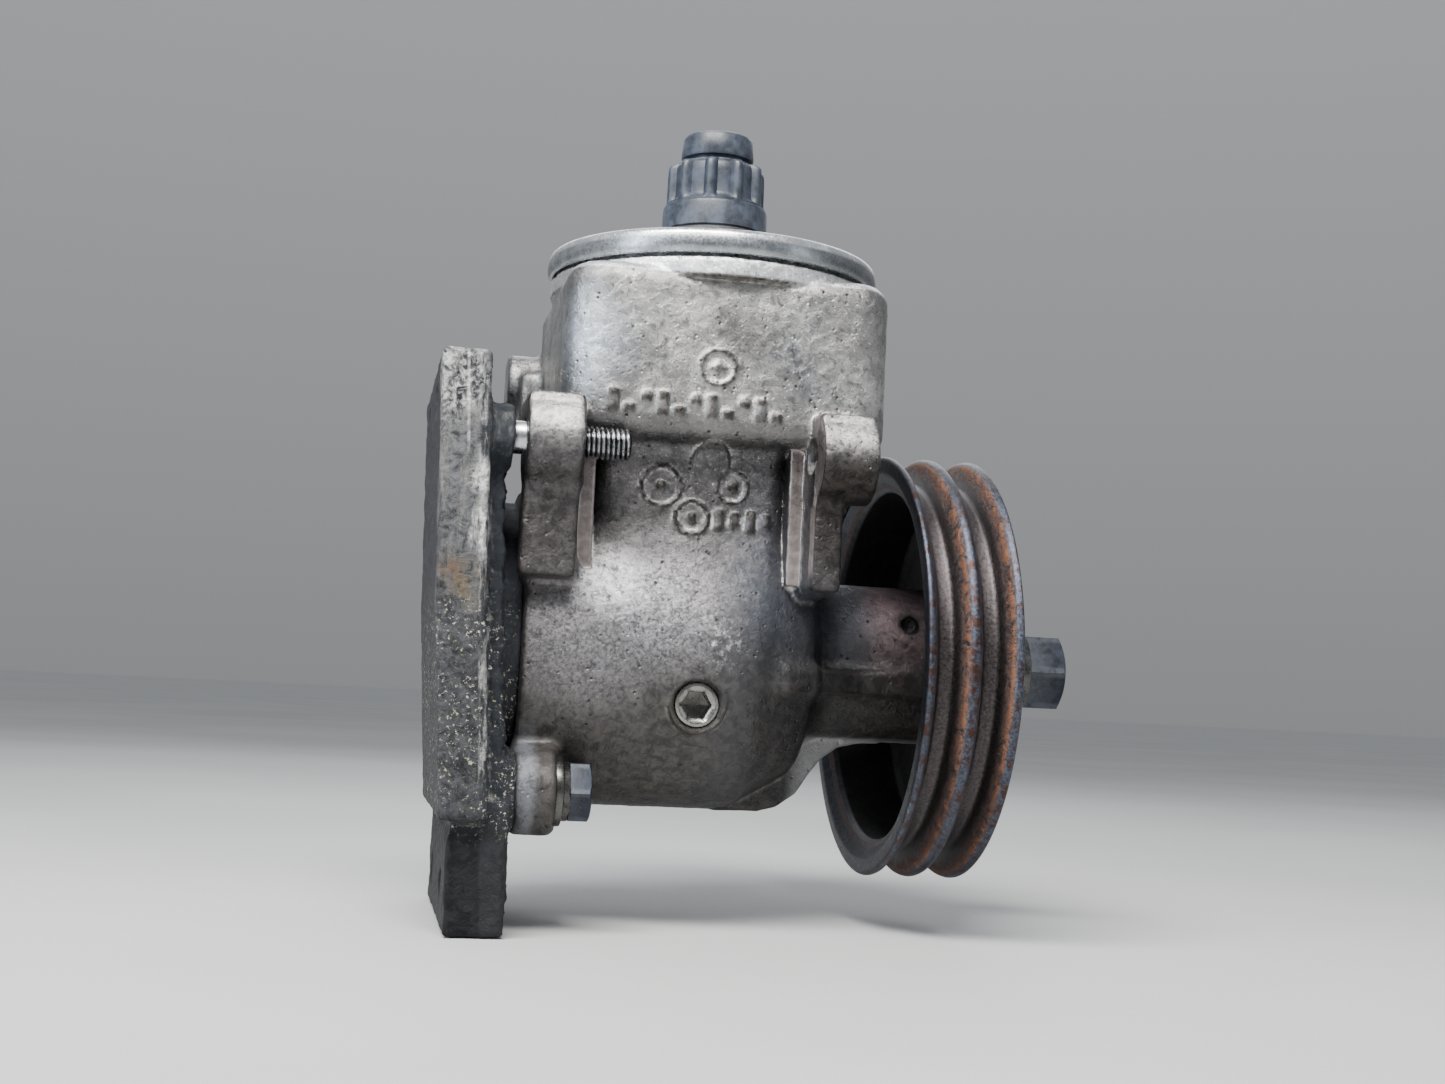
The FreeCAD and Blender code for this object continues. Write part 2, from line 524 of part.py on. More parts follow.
cord_pitch = S.chamber_rad - S.cord_rad - 0.05
plate_bore = S.shaft_rad + S.running_gap
cord_port = port_plate_at + S.port_plate_thick / 2.0
cord_rear = rear_plate_at + 3.4
cord_cover = cover_at + S.cover_thick / 2.0
node(cut(rod("X", (port_plate_at, 0, 0), cartridge_rad, S.port_plate_thick),
         cord_groove(cord_port), rod("X", (port_plate_at, 0, 0), plate_bore, S.port_plate_thick),
         *(port_slots(port_plate_at, S.port_plate_thick)
           + dowels(port_plate_at, S.port_plate_thick, S.dowel_rad))), "front_port_plate")
node(ring_cord("X", (cord_port, 0, 0), cord_pitch, S.cord_rad), "port_plate_oring")
node(cut(rod("X", (rear_plate_at, 0, 0), cartridge_rad, S.rear_plate_thick),
         cord_groove(cord_rear), rod("X", (rear_plate_at + 1.0, 0, 0), plate_bore, S.rear_plate_thick),
         *(port_slots(rear_plate_at + 4.0, S.rear_plate_thick)
           + dowels(rear_plate_at + 4.0, S.rear_plate_thick, S.dowel_rad))), "rear_pressure_plate")
node(ring_cord("X", (cord_rear, 0, 0), cord_pitch, S.cord_rad), "rear_plate_oring")
cam_hole = join(
    rod("X", (cam_at - 1.0, -S.cam_lobe, 0), S.cam_small, S.cam_wide + 2.0),
    rod("X", (cam_at - 1.0, S.cam_lobe, 0), S.cam_small, S.cam_wide + 2.0),
    box(cam_at - 1.0, -S.cam_lobe, -S.cam_small, cam_at + S.cam_wide + 1.0, S.cam_lobe,
        S.cam_small))
node(cut(rod("X", (cam_at, 0, 0), S.cam_out, S.cam_wide), cam_hole,
         *dowels(cam_at, S.cam_wide, S.dowel_rad)), "cam_ring")
dowel_at = rear_plate_at + 4.0
node(join(*dowels(dowel_at, chamber_end + 3.5 - dowel_at, S.dowel_rad)), "dowel_pins")
node(turned("X", (0, 0, 0), [
    (spring_at, S.chamber_rad - 6.0), (spring_at + 1.2, S.chamber_rad - 6.0),
    (rear_plate_at, S.chamber_rad - 15.0), (rear_plate_at, S.chamber_rad - 17.0),
    (rear_plate_at - 1.2, S.chamber_rad - 17.0)]), "pressure_spring")
node(cut(rod("X", (cover_at, 0, 0), cartridge_rad, S.cover_thick), cord_groove(cord_cover),
         rod("X", (cover_at, 0, 0), 12.0, 3.0)), "rear_cover")
node(ring_cord("X", (cord_cover, 0, 0), cord_pitch, S.cord_rad), "cover_oring")
snap = turned("X", (0, 0, 0), [
    (ring_at, S.chamber_rad - 3.0), (cover_at, S.chamber_rad - 3.0),
    (cover_at, S.chamber_rad + 1.4), (ring_at, S.chamber_rad + 1.4)])
node(cut(snap, box(ring_at - 1.0, -6.0, -S.chamber_rad - 8.0, cover_at + 1.0, 6.0, 0)),
     "cover_snap_ring")

# The rotor's slots and vanes share one pattern of angles.
rotor_at = cam_at + S.side_gap
rotor_wide = S.cam_wide - S.side_gap - S.side_gap
vane_step = 360.0 / S.vane_count.v


def radial_block(label, start, wide, low, high, thick, degrees):
    """A block standing on a radius of the shaft, turned about the shaft's axis."""
    made = doc.addObject("Part::Box", named(label))
    bind(made, "Length", wide)
    bind(made, "Width", thick)
    bind(made, "Height", size(high) - low)
    a = math.radians(degrees)
    made.Placement = Placement(Vector(), Rotation(Vector(1, 0, 0), degrees))
    half = size(thick) / 2.0
    bind(made, "Placement.Base.x", start)
    bind(made, "Placement.Base.y", -(half * math.cos(a)) - size(low) * math.sin(a))
    bind(made, "Placement.Base.z", size(low) * math.cos(a) - half * math.sin(a))
    return made


angles = [vane_step * (k + 0.5) for k in range(int(S.vane_count.v))]
slots = [radial_block("slot", rotor_at - 1.0, rotor_wide + 2.0, S.slot_low, S.rotor_rad + 4.0,
                      S.vane_thick + S.vane_gap + S.vane_gap, a) for a in angles]
rotor_disc = rod("X", (rotor_at, 0, 0), S.rotor_rad, rotor_wide)
node(cut(rotor_disc, rod("X", (rotor_at, 0, 0), S.shaft_rad, rotor_wide), *slots), "rotor")
for number, a in enumerate(angles, start=1):
    node(radial_block("vane", rotor_at, rotor_wide, S.vane_low, S.vane_tip, S.vane_thick, a),
         "vane_%02d" % number)

# ---------------------------------------------------------------- flow valve
spool_at = -S.valve_start
spool_end = spool_at + S.spool_len
spool = turned("Y", (S.valve_x, spool_at, -S.valve_drop), [
    (0, 0), (0, S.spool_rad - 1.0), (1.0, S.spool_rad), (6.0, S.spool_rad),
    (6.0, S.spool_rad - 1.6), (S.spool_len - 10.0, S.spool_rad - 1.6),
    (S.spool_len - 10.0, S.spool_rad), (S.spool_len, S.spool_rad), (S.spool_len, 0)])
node(cut(spool, rod("Y", (S.valve_x, spool_end - 8.0, -S.valve_drop), 3.2, 8.0)), "valve_spool")
wire = 0.9
coil_rad = S.spool_rad - 1.2
path = doc.addObject("Part::Helix", "coil_path")
bind(path, "Radius", coil_rad)
bind(path, "Pitch", (S.valve_spring_len - 2.0 * wire) / 9.0)
bind(path, "Height", S.valve_spring_len - 2.0 * wire)
strand = doc.addObject("Part::Circle", "coil_wire")
strand.Radius = wire
put(strand, (coil_rad, 0, 0), Rotation(Vector(1, 0, 0), 90))
coil = doc.addObject("Part::Sweep", "coil")
coil.Sections = [strand]
coil.Spine = path
coil.Solid = True
coil.Frenet = True
node(put(coil, (S.valve_x, spool_end + wire, -S.valve_drop), ALONG["Y"]), "valve_spring")
plug_at = -S.valve_start - S.plug_len
plug_spot = (S.valve_x, plug_at, -S.valve_drop)
node(cut(rod("Y", plug_spot, S.plug_rad, S.plug_len),
         hexagon("Y", plug_spot, S.plug_socket, 6.0)), "valve_plug")
union_at = S.port_reach + 2.0
fitting_spot = (S.valve_x, S.port_reach - 14.0, -S.valve_drop)
node(cut(join(rod("Y", fitting_spot, S.port_rad, 16.0 + S.union_len / 2.0),
              hexagon("Y", (S.valve_x, union_at, -S.valve_drop), S.union_rad * 2.0, S.union_len)),
         rod("Y", fitting_spot, 4.0, 60.0),
         rod("Y", (S.valve_x, union_at + 3.0, -S.valve_drop), 7.0, 30.0)), "pressure_union")
node(cut(rod("Y", (S.valve_x, S.port_reach, -S.valve_drop), S.port_rad + 3.5, 2.0),
         rod("Y", (S.valve_x, S.port_reach, -S.valve_drop), S.port_rad, 2.0)), "union_washer")
pipe_in = S.tank_half - 6.0
node(turned("Y", (S.pipe_x, pipe_in, S.pipe_z), [
    (0, S.pipe_bore), (0, S.pipe_rad), (S.pipe_len + 4.0, S.pipe_rad),
    (S.pipe_len + 5.5, S.pipe_rad + 0.8), (S.pipe_len + 7.0, S.pipe_rad),
    (S.pipe_len + 11.0, S.pipe_rad - 0.4), (S.pipe_len + 11.0, S.pipe_bore)]), "return_nipple")

# ---------------------------------------------------------------- reservoir
node(rod("Z", (S.lid_x, 0, S.post_root), S.screw_rad, S.post_top - S.post_root), "lid_stud")
filter_low = inner_bottom + 1.0
filter_top = filter_low + S.filter_high
node(cut(rod("Z", (S.lid_x, 0, filter_low), S.filter_out, S.filter_high),
         rod("Z", (S.lid_x, 0, filter_low), S.filter_in, S.filter_high)), "filter_element")
node(cut(rod("Z", (S.lid_x, 0, inner_bottom), S.filter_out - 6.0, filter_low - inner_bottom),
         rod("Z", (S.lid_x, 0, inner_bottom), S.filter_in - 2.0, 8.0)), "filter_seat")
node(turned("Z", (S.lid_x, 0, 0), [
    (filter_top, S.filter_in - 4.0), (filter_top, S.filter_out), (filter_top + S.cup_thick, S.filter_out),
    (filter_top + S.cup_thick, S.filter_in - 4.0)]), "filter_plate")
helix = doc.addObject("Part::Helix", "hold_path")
hold_low = filter_top + S.cup_thick
hold_high = S.lid_top + S.lid_rise - S.lid_thick - 0.3
bind(helix, "Radius", S.filter_in + 6.0)
bind(helix, "Pitch", (hold_high - hold_low - 2.4) / 3.0)
bind(helix, "Height", hold_high - hold_low - 2.4)
strand = doc.addObject("Part::Circle", "hold_wire")
strand.Radius = 1.1
put(strand, (S.filter_in + 6.0, 0, 0), Rotation(Vector(1, 0, 0), 90))
hold = doc.addObject("Part::Sweep", "hold")
hold.Sections = [strand]
hold.Spine = helix
hold.Solid = True
hold.Frenet = True
node(put(hold, (S.lid_x, 0, hold_low + 1.15)), "filter_spring")
node(turned("Z", (S.lid_x, 0, 0), [
    (spigot_top, neck_in + 1.0), (cap_under, neck_in + 1.0), (cap_under, spigot_rad),
    (spigot_top, spigot_rad)]), "lid_seal")
dome = S.lid_top + S.lid_rise
post_hole = S.screw_rad + 0.5
node(turned("Z", (S.lid_x, 0, 0), [
    (S.neck_top, S.lid_rad - S.lid_thick), (S.neck_top, S.lid_rad - 0.6),
    (S.neck_top + 0.6, S.lid_rad), (S.lid_top - 1.4, S.lid_rad), (S.lid_top, S.lid_rad - 1.4),
    (S.lid_top, S.lid_rad - 7.0), (dome, S.lid_hub), (dome, post_hole),
    (dome - S.lid_thick, post_hole), (dome - S.lid_thick, S.lid_hub - 1.0),
    (cap_under, S.lid_rad - 9.0), (cap_under, S.lid_rad - S.lid_thick)]), "reservoir_lid")
node(turned("Z", (S.lid_x, 0, 0), [
    (band_at, post_hole), (knob_at, post_hole), (knob_at, S.knob_rad + 1.2),
    (band_at, S.knob_rad + 1.2)]), "nut_seal")
grip_at = knob_at + S.knob_collar
tip_at = grip_at + S.knob_grip
knob_end = tip_at + S.knob_tip
knob = turned("Z", (S.lid_x, 0, 0), [
    (knob_at, S.screw_rad + S.running_gap), (knob_at, S.knob_rad), (grip_at - 1.0, S.knob_rad),
    (grip_at, S.knob_rad - 1.0), (tip_at - 1.0, S.knob_rad - 1.0), (tip_at, S.knob_grip_rad - 1.4),
    (tip_at, S.knob_tip_rad), (knob_end - 1.2, S.knob_tip_rad), (knob_end, S.knob_tip_rad - 1.2),
    (knob_end, 0), (S.post_top + 2.0, 0), (S.post_top + 2.0, S.screw_rad + S.running_gap)])
flutes = []
for k in range(int(S.flute_count.v)):
    a = 2.0 * math.pi * k / S.flute_count.v
    flutes.append(rod("Z", (S.lid_x + S.knob_rad * math.cos(a), S.knob_rad * math.sin(a),
                            grip_at + 1.0), S.flute_rad, S.knob_grip))
node(cut(knob, *flutes), "lid_nut")

# ---------------------------------------------------------------- pulley
land = S.rim_land
deep = S.rim_rad - S.groove_depth
flank = (S.groove_pitch - land - S.groove_floor) / 2.0
profile = [(S.rim_start, S.rim_rad - 0.6), (S.rim_start + 0.6, S.rim_rad)]
for k in range(2):
    at = S.rim_start + land + S.groove_pitch * float(k)
    profile += [(at, S.rim_rad), (at + flank, deep), (at + flank + S.groove_floor, deep),
                (at + flank + flank + S.groove_floor, S.rim_rad)]
rim_end = S.rim_start + land + S.groove_pitch * 2.0
bore_rad = deep - S.sheet
web_out = rim_end + S.dish
profile += [(rim_end - 0.4, S.rim_rad), (rim_end, S.rim_rad - 0.6), (rim_end, S.rim_rad - 5.0),
            (rim_end - 2.0, deep + 0.6), (rim_end - 0.5, bore_rad - 1.0),
            (web_out, S.hub_rad + 3.0), (S.hub_face, S.hub_rad), (S.hub_face, S.seat_rad),
            (clip_at, S.seat_rad), (clip_at, S.seat_rad + 4.5), (hub_start, S.seat_rad + 4.5),
            (hub_start + 2.0, S.hub_rad), (web_out - 3.4, S.hub_rad + 2.0),
            (rim_end - 4.2, bore_rad - 2.0), (rim_end - 6.0, bore_rad),
            (S.rim_start + 4.6, bore_rad), (S.rim_start, S.rim_rad - 5.5)]
node(cut(turned("X", (0, 0, 0), profile),
         box(key_at, -S.key_wide / 2.0, 0, S.hub_face + 1.0, S.key_wide / 2.0, key_top)), "pulley")
washer_end = S.hub_face + S.nut_washer
node(cut(rod("X", (S.hub_face, 0, 0), S.nut_washer_rad, S.nut_washer),
         rod("X", (S.hub_face, 0, 0), S.thread_rad, S.nut_washer)), "pulley_washer")
node(cut(hexagon("X", (washer_end, 0, 0), S.nut_flats, S.nut_high),
         rod("X", (washer_end, 0, 0), S.thread_rad, S.nut_high)), "pulley_nut")

# ---------------------------------------------------------------- checks and export
doc.recompute()
for thing in doc.Objects:
    bad = [word for word in thing.State if word in ("Invalid", "Error")]
    if bad:
        raise RuntimeError("%s (%s) did not build: %s" % (thing.Label, thing.Name, bad))
for thing in NODES:
    if thing.Shape.isNull() or not thing.Shape.isValid() or thing.Shape.Volume <= 0:
        raise RuntimeError("%s has no valid solid" % thing.Label)

os.makedirs("parts", exist_ok=True)
for thing in NODES:
    thing.Shape.exportStep("parts/%s.step" % thing.Label)
    print("%-22s %9.0f mm3  solids %d" % (thing.Label, thing.Shape.Volume,
                                         len(thing.Shape.Solids)))
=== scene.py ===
import math

import bmesh
import bpy
import numpy as np
from bpy.props import (FloatProperty, FloatVectorProperty, IntProperty,
                       PointerProperty)
from bpy.types import Operator, Panel, PropertyGroup
from mathutils import Matrix, Vector, noise


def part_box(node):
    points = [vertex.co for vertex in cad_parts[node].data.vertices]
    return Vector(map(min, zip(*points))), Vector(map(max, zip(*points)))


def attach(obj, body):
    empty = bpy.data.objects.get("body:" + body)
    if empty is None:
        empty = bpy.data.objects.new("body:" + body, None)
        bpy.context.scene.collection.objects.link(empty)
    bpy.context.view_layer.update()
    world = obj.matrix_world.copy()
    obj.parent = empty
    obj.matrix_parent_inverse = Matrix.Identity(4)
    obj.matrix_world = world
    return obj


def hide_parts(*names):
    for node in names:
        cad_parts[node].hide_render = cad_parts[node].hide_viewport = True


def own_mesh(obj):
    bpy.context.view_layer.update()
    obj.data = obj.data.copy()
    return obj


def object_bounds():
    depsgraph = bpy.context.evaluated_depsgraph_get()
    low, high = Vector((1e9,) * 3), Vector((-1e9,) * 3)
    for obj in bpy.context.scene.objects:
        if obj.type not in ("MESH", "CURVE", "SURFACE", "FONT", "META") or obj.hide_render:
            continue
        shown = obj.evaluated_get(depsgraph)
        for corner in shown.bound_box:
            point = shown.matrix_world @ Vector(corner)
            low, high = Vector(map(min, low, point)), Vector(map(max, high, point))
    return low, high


bl_info = {
    "name": "Vane pump with reservoir",
    "version": (1, 0, 0),
    "blender": (4, 5, 0),
    "location": "View3D > Sidebar > Pump",
    "description": "Builds the looks of a belt-driven vane pump around its solid model",
    "category": "Object",
}

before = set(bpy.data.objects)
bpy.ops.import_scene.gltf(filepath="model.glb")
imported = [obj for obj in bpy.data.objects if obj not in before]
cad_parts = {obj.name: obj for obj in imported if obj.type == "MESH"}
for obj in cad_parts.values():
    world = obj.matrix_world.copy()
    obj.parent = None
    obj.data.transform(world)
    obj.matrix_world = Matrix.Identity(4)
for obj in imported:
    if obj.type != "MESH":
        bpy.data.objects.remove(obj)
CAD_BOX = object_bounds()
MM = 0.001


def corners(node):
    """Lowest and highest corner of a solid, in millimetres."""
    low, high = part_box(node)
    return np.array(low) / MM, np.array(high) / MM


def middle(node):
    """Middle of a solid's box, in millimetres."""
    low, high = corners(node)
    return (low + high) / 2.0


# ------------------------------------------------------------------ properties
def length(name, words, value):
    return FloatProperty(name=name, description=words, default=value * MM, unit="LENGTH",
                         subtype="DISTANCE", precision=5)


def colour(name, words, value):
    return FloatVectorProperty(name=name, description=words, default=value, size=3,
                               subtype="COLOR", min=0.0, max=1.0)


LID_LOW, LID_HIGH = corners("reservoir_lid")
BOLT_HALF = 8.5  # half the width across the flats of a bracket bolt
RIM_LAND, GROOVE_PITCH = 1.8, 14.35  # first land of the pulley, spacing of its grooves


def bolt_place():
    """How far the bracket bolts stand from the shaft's plane, and their level."""
    low, high = corners("bracket_bolts")
    return high[1] - BOLT_HALF, (low[2] + high[2]) / 2.0


def middle_and_radius(node):
    """Station along X and radius of a solid that is round about an upright axis."""
    low, high = corners(node)
    return (low[0] + high[0]) / 2.0, (high[0] - low[0]) / 2.0


class CastingSizes(PropertyGroup):
    cell: length("Clay cell", "Edge of the cells that the casting is shaped from", 0.85)
    plate_cell: length("Plate clay cell", "Edge of the cells of the bracket", 1.0)
    fillet: length("Casting fillet", "Radius where the cast forms run into each other", 7.0)
    grain: length("Sand grain", "Height of the cast surface's unevenness", 0.16)
    mark_height: length("Mark height", "How far the raised marks stand proud", 1.15)
    body_radius: length("Body radius", "Outside radius of the round pump body", 50.0)
    snout_radius: length("Snout radius", "Outside radius of the bearing snout", 26.0)
    tank_corner: length("Tank corner", "Radius of the reservoir's upright corners", 13.0)
    tank_round: length("Tank shoulder", "Radius of the reservoir's top and bottom edges", 6.5)


class FastenerSizes(PropertyGroup):
    pitch: length("Thread pitch", "Pitch of the stud's thread", 1.5)
    thread_depth: length("Thread depth", "Depth of the stud's thread", 0.85)
    flats: length("Bolt flats", "Distance across the flats of the bracket bolts", 17.0)
    nut_flats: length("Pulley nut flats", "Distance across the flats of the pulley nut", 24.0)
    socket: length("Plug socket", "Distance across the flats of the plug's socket", 8.0)


class TurnedSizes(PropertyGroup):
    steps: IntProperty(name="Steps", description="Facets round a turned piece", default=192,
                       min=24, max=512)
    flutes: IntProperty(name="Flutes", description="Ribs round the lid nut", default=10,
                        min=4, max=24)
    flute_depth: length("Flute depth", "How far the lid nut's ribs stand out", 2.3)
    bead: length("Lid bead", "Radius of the lid's rolled edge", 2.6)
    sheet: length("Pulley sheet", "Thickness of the pulley's sheet", 2.5)


class FinishColours(PropertyGroup):
    cast: colour("Cast aluminium", "Weathered casting", (0.112, 0.108, 0.111))
    cast_worn: colour("Worn casting", "Casting rubbed bright", (0.56, 0.55, 0.53))
    # also used for the painted shade in the casting's creases
    grime_and_shade: colour("Grime", "Oily dirt in hollows", (0.030, 0.026, 0.022))
    iron: colour("Bracket iron", "Greasy dark iron", (0.017, 0.0175, 0.020))
    zinc: colour("Zinc", "Lid and plated pieces", (0.33, 0.35, 0.37))
    plastic: colour("Nut plastic", "Dark moulded plastic", (0.018, 0.024, 0.036))
    rust: colour("Rust", "Rust in the pulley grooves", (0.062, 0.023, 0.010))
    sheet_steel: colour("Sheet steel", "Bare rims of the pulley", (0.048, 0.054, 0.070))
    bolt: colour("Bolt steel", "Blackened fasteners", (0.015, 0.018, 0.026))


class StageSizes(PropertyGroup):
    focal: FloatProperty(name="Lens", description="Camera focal length", default=46.37,
                         min=10.0, max=200.0, unit="CAMERA")
    floor_drop: length("Floor drop", "Gap between the part's lowest point and the floor", 0.3)
    key_watts: FloatProperty(name="Key light", description="Power of the main light",
                             default=31.0, min=0.0, unit="POWER")
    fill_watts: FloatProperty(name="Fill light", description="Power of the fill light",
                              default=5.0, min=0.0, unit="POWER")


class PumpSettings(PropertyGroup):
    casting: PointerProperty(name="Casting", description="Cast forms", type=CastingSizes)
    fasteners: PointerProperty(name="Fasteners", description="Screws and nuts",
                               type=FastenerSizes)
    turned: PointerProperty(name="Turned pieces", description="Round pieces", type=TurnedSizes)
    colours: PointerProperty(name="Colours", description="Finishes", type=FinishColours)
    stage: PointerProperty(name="Stage", description="Floor, lights and camera",
                           type=StageSizes)


def settings():
    return bpy.context.scene.vane_pump


# ------------------------------------------------------------------ shaping clay
class Clay:
    """A block of sampled distances that forms are joined to and cut from, in millimetres."""

    def __init__(self, low, high, cell):
        self.low = np.array(low, float)
        self.cell = cell
        counts = np.ceil((np.array(high, float) - self.low) / cell).astype(int) + 1
        self.axes = [self.low[k] + cell * np.arange(counts[k]) for k in range(3)]
        self.field = np.full(tuple(counts), 30.0, np.float32)

    def window(self, low, high):
        """The part of the block between two corners: its slices and coordinates."""
        slices, coords = [], []
        for k in range(3):
            first, last = np.searchsorted(self.axes[k], (low[k], high[k]))
            slices.append(slice(int(first), int(last)))
            shape = [1, 1, 1]
            shape[k] = -1
            coords.append(self.axes[k][first:last].reshape(shape).astype(np.float32))
        return tuple(slices), coords

    def join(self, form, low, high, soft=0.0):
        """Add a form, run into what is there over a soft distance."""
        reach = soft + 4.0
        at, xyz = self.window([v - reach for v in low], [v + reach for v in high])
        here = self.field[at]
        there = form(*xyz)
        if soft > 0.0:
            share = np.clip(0.5 + 0.5 * (here - there) / soft, 0.0, 1.0)
            self.field[at] = here * (1 - share) + there * share - soft * share * (1 - share)
        else:
            self.field[at] = np.minimum(here, there)

    def cut(self, form, low, high, soft=0.0):
        """Take a form away, its edge eased over a soft distance."""
        reach = soft + 4.0
        at, xyz = self.window([v - reach for v in low], [v + reach for v in high])
        here = self.field[at]
        there = -form(*xyz)
        if soft > 0.0:
            share = np.clip(0.5 - 0.5 * (here - there) / soft, 0.0, 1.0)
            self.field[at] = here * (1 - share) + there * share + soft * share * (1 - share)
        else:
            self.field[at] = np.maximum(here, there)

    def raise_marks(self, height, low, high):
        """Lift the skin by a height that varies over it."""
        at, xyz = self.window(low, high)
        self.field[at] -= height(*xyz)

    def sample(self, points, field):
        """Distances in a field at the cells nearest to some points."""
        index = np.rint((points - self.low) / self.cell).astype(int)
        for k in range(3):
            index[:, k] = np.clip(index[:, k], 0, field.shape[k] - 1)
        return field[index[:, 0], index[:, 1], index[:, 2]]

    def skin(self):
        """Points and faces of the closed surface at zero distance."""
        field = self.field
        inside = field < 0.0
        shifts = [(i, j, k) for i in (0, 1) for j in (0, 1) for k in (0, 1)]
        size = [n - 1 for n in field.shape]

        def shifted(grid, s):
            return grid[s[0]:s[0] + size[0], s[1]:s[1] + size[1], s[2]:s[2] + size[2]]

        count = np.zeros(size, np.int8)
        for s in shifts:
            count += shifted(inside, s)
        cells = np.argwhere((count > 0) & (count < 8))
        values = {s: field[cells[:, 0] + s[0], cells[:, 1] + s[1], cells[:, 2] + s[2]]
                  for s in shifts}
        total = np.zeros((len(cells), 3))
        crossings = np.zeros(len(cells))
        for a in shifts:
            for axis in range(3):
                if a[axis]:
                    continue
                b = tuple(a[k] + (k == axis) for k in range(3))
                crossed = (values[a] < 0) != (values[b] < 0)
                span = values[a] - values[b]
                share = np.where(crossed, values[a] / np.where(span == 0, 1, span), 0)
                spot = np.array(a, float)[None, :].repeat(len(cells), 0)
                spot[:, axis] += share
                total += spot * crossed[:, None]
                crossings += crossed
        points = self.low + self.cell * (cells + total / crossings[:, None])
        number = np.full(size, -1, np.int32)
        number[cells[:, 0], cells[:, 1], cells[:, 2]] = np.arange(len(cells))
        faces = []
        for axis in range(3):
            first = [slice(None)] * 3
            second = [slice(None)] * 3
            first[axis] = slice(0, -1)
            second[axis] = slice(1, None)
            crossed = inside[tuple(first)] != inside[tuple(second)]
            edges = np.argwhere(crossed)
            u, v = [k for k in range(3) if k != axis]
            keep = ((edges[:, u] > 0) & (edges[:, v] > 0)
                    & (edges[:, u] < size[u]) & (edges[:, v] < size[v]))
            edges = edges[keep]
            around = []
            for du, dv in ((0, 0), (1, 0), (1, 1), (0, 1)):
                spot = edges.copy()
                spot[:, u] -= du
                spot[:, v] -= dv
                around.append(number[spot[:, 0], spot[:, 1], spot[:, 2]])
            quads = np.stack(around, 1)
            flip = inside[edges[:, 0], edges[:, 1], edges[:, 2]]
            if axis == 1:
                flip = ~flip
            quads[flip] = quads[flip][:, ::-1]
            faces.append(quads)
        return points, np.concatenate(faces)


def disc(axis, centre, radius, start, end, soft=0.6):
    """A round bar along an axis, its edges slightly rounded."""
    u, v = [k for k in range(3) if k != axis]

    def form(*xyz):
        across = np.sqrt((xyz[u] - centre[u]) ** 2 + (xyz[v] - centre[v]) ** 2) - radius + soft
        along = np.abs(xyz[axis] - (start + end) / 2.0) - (end - start) / 2.0 + soft
        return (np.sqrt(np.maximum(across, 0) ** 2 + np.maximum(along, 0) ** 2)
                + np.minimum(np.maximum(across, along), 0) - soft)

    low, high = [0, 0, 0], [0, 0, 0]
    for k in (u, v):
        low[k], high[k] = centre[k] - radius, centre[k] + radius
    low[axis], high[axis] = start, end
    return form, low, high


def slab(low, high, soft=1.5):
    """A block with rounded edges."""
    mid = [(a + b) / 2.0 for a, b in zip(low, high)]
    half = [(b - a) / 2.0 - soft for a, b in zip(low, high)]

    def form(*xyz):
        d = [np.abs(xyz[k] - mid[k]) - half[k] for k in range(3)]
        outer = np.sqrt(sum(np.maximum(q, 0) ** 2 for q in d))
        return outer + np.minimum(np.maximum(np.maximum(d[0], d[1]), d[2]), 0) - soft

    return form, low, high


def tub(low, high, corner, edge):
    """A block with wide upright corners and rounded top and bottom edges."""
    mid = [(a + b) / 2.0 for a, b in zip(low, high)]
    half = [(b - a) / 2.0 for a, b in zip(low, high)]

    def form(x, y, z):
        dx = np.abs(x - mid[0]) - half[0] + corner
        dy = np.abs(y - mid[1]) - half[1] + corner
        plan = (np.sqrt(np.maximum(dx, 0) ** 2 + np.maximum(dy, 0) ** 2)
                + np.minimum(np.maximum(dx, dy), 0) - corner + edge)
        rise = np.abs(z - mid[2]) - half[2] + edge
        return (np.sqrt(np.maximum(plan, 0) ** 2 + np.maximum(rise, 0) ** 2)
                + np.minimum(np.maximum(plan, rise), 0) - edge)

    return form, low, high


def spindle(profile, soft=1.5):
    """A form turned about the shaft's axis from (station, radius) pairs."""
    stations = np.array([p[0] for p in profile], float)
    radii = np.array([p[1] for p in profile], float)

    def form(x, y, z):
        radius = np.interp(x, stations, radii)
        slope = np.abs(np.interp(x + 0.5, stations, radii) - np.interp(x - 0.5, stations, radii))
        across = (np.sqrt(y ** 2 + z ** 2) - radius) / np.sqrt(1.0 + np.minimum(slope, 3.0) ** 2)
        across = across + soft
        along = np.maximum(stations[0] - x, x - stations[-1]) + soft
        return (np.sqrt(np.maximum(across, 0) ** 2 + np.maximum(along, 0) ** 2)
                + np.minimum(np.maximum(across, along), 0) - soft)

    top = float(radii.max())
    return form, [stations[0], -top, -top], [stations[-1], top, top]


def fin(stations, edge, half, level, side, soft=1.0):
    """A rib lying level, whose outer edge follows (station, reach) on one side."""

    def form(x, y, z):
        reach = np.interp(x, stations, edge)
        out = (y * side - reach) * 0.9
        thick = np.abs(z - level) - half + soft
        ends = np.maximum(stations[0] - x, x - stations[-1])
        outer = np.maximum(out, ends) + soft
        return (np.sqrt(np.maximum(outer, 0) ** 2 + np.maximum(thick, 0) ** 2)
                + np.minimum(np.maximum(outer, thick), 0) - soft)

    top = max(edge)
    low = [stations[0], -top if side < 0 else 0, level - half]
    high = [stations[-1], 0 if side < 0 else top, level + half]
    return form, low, high


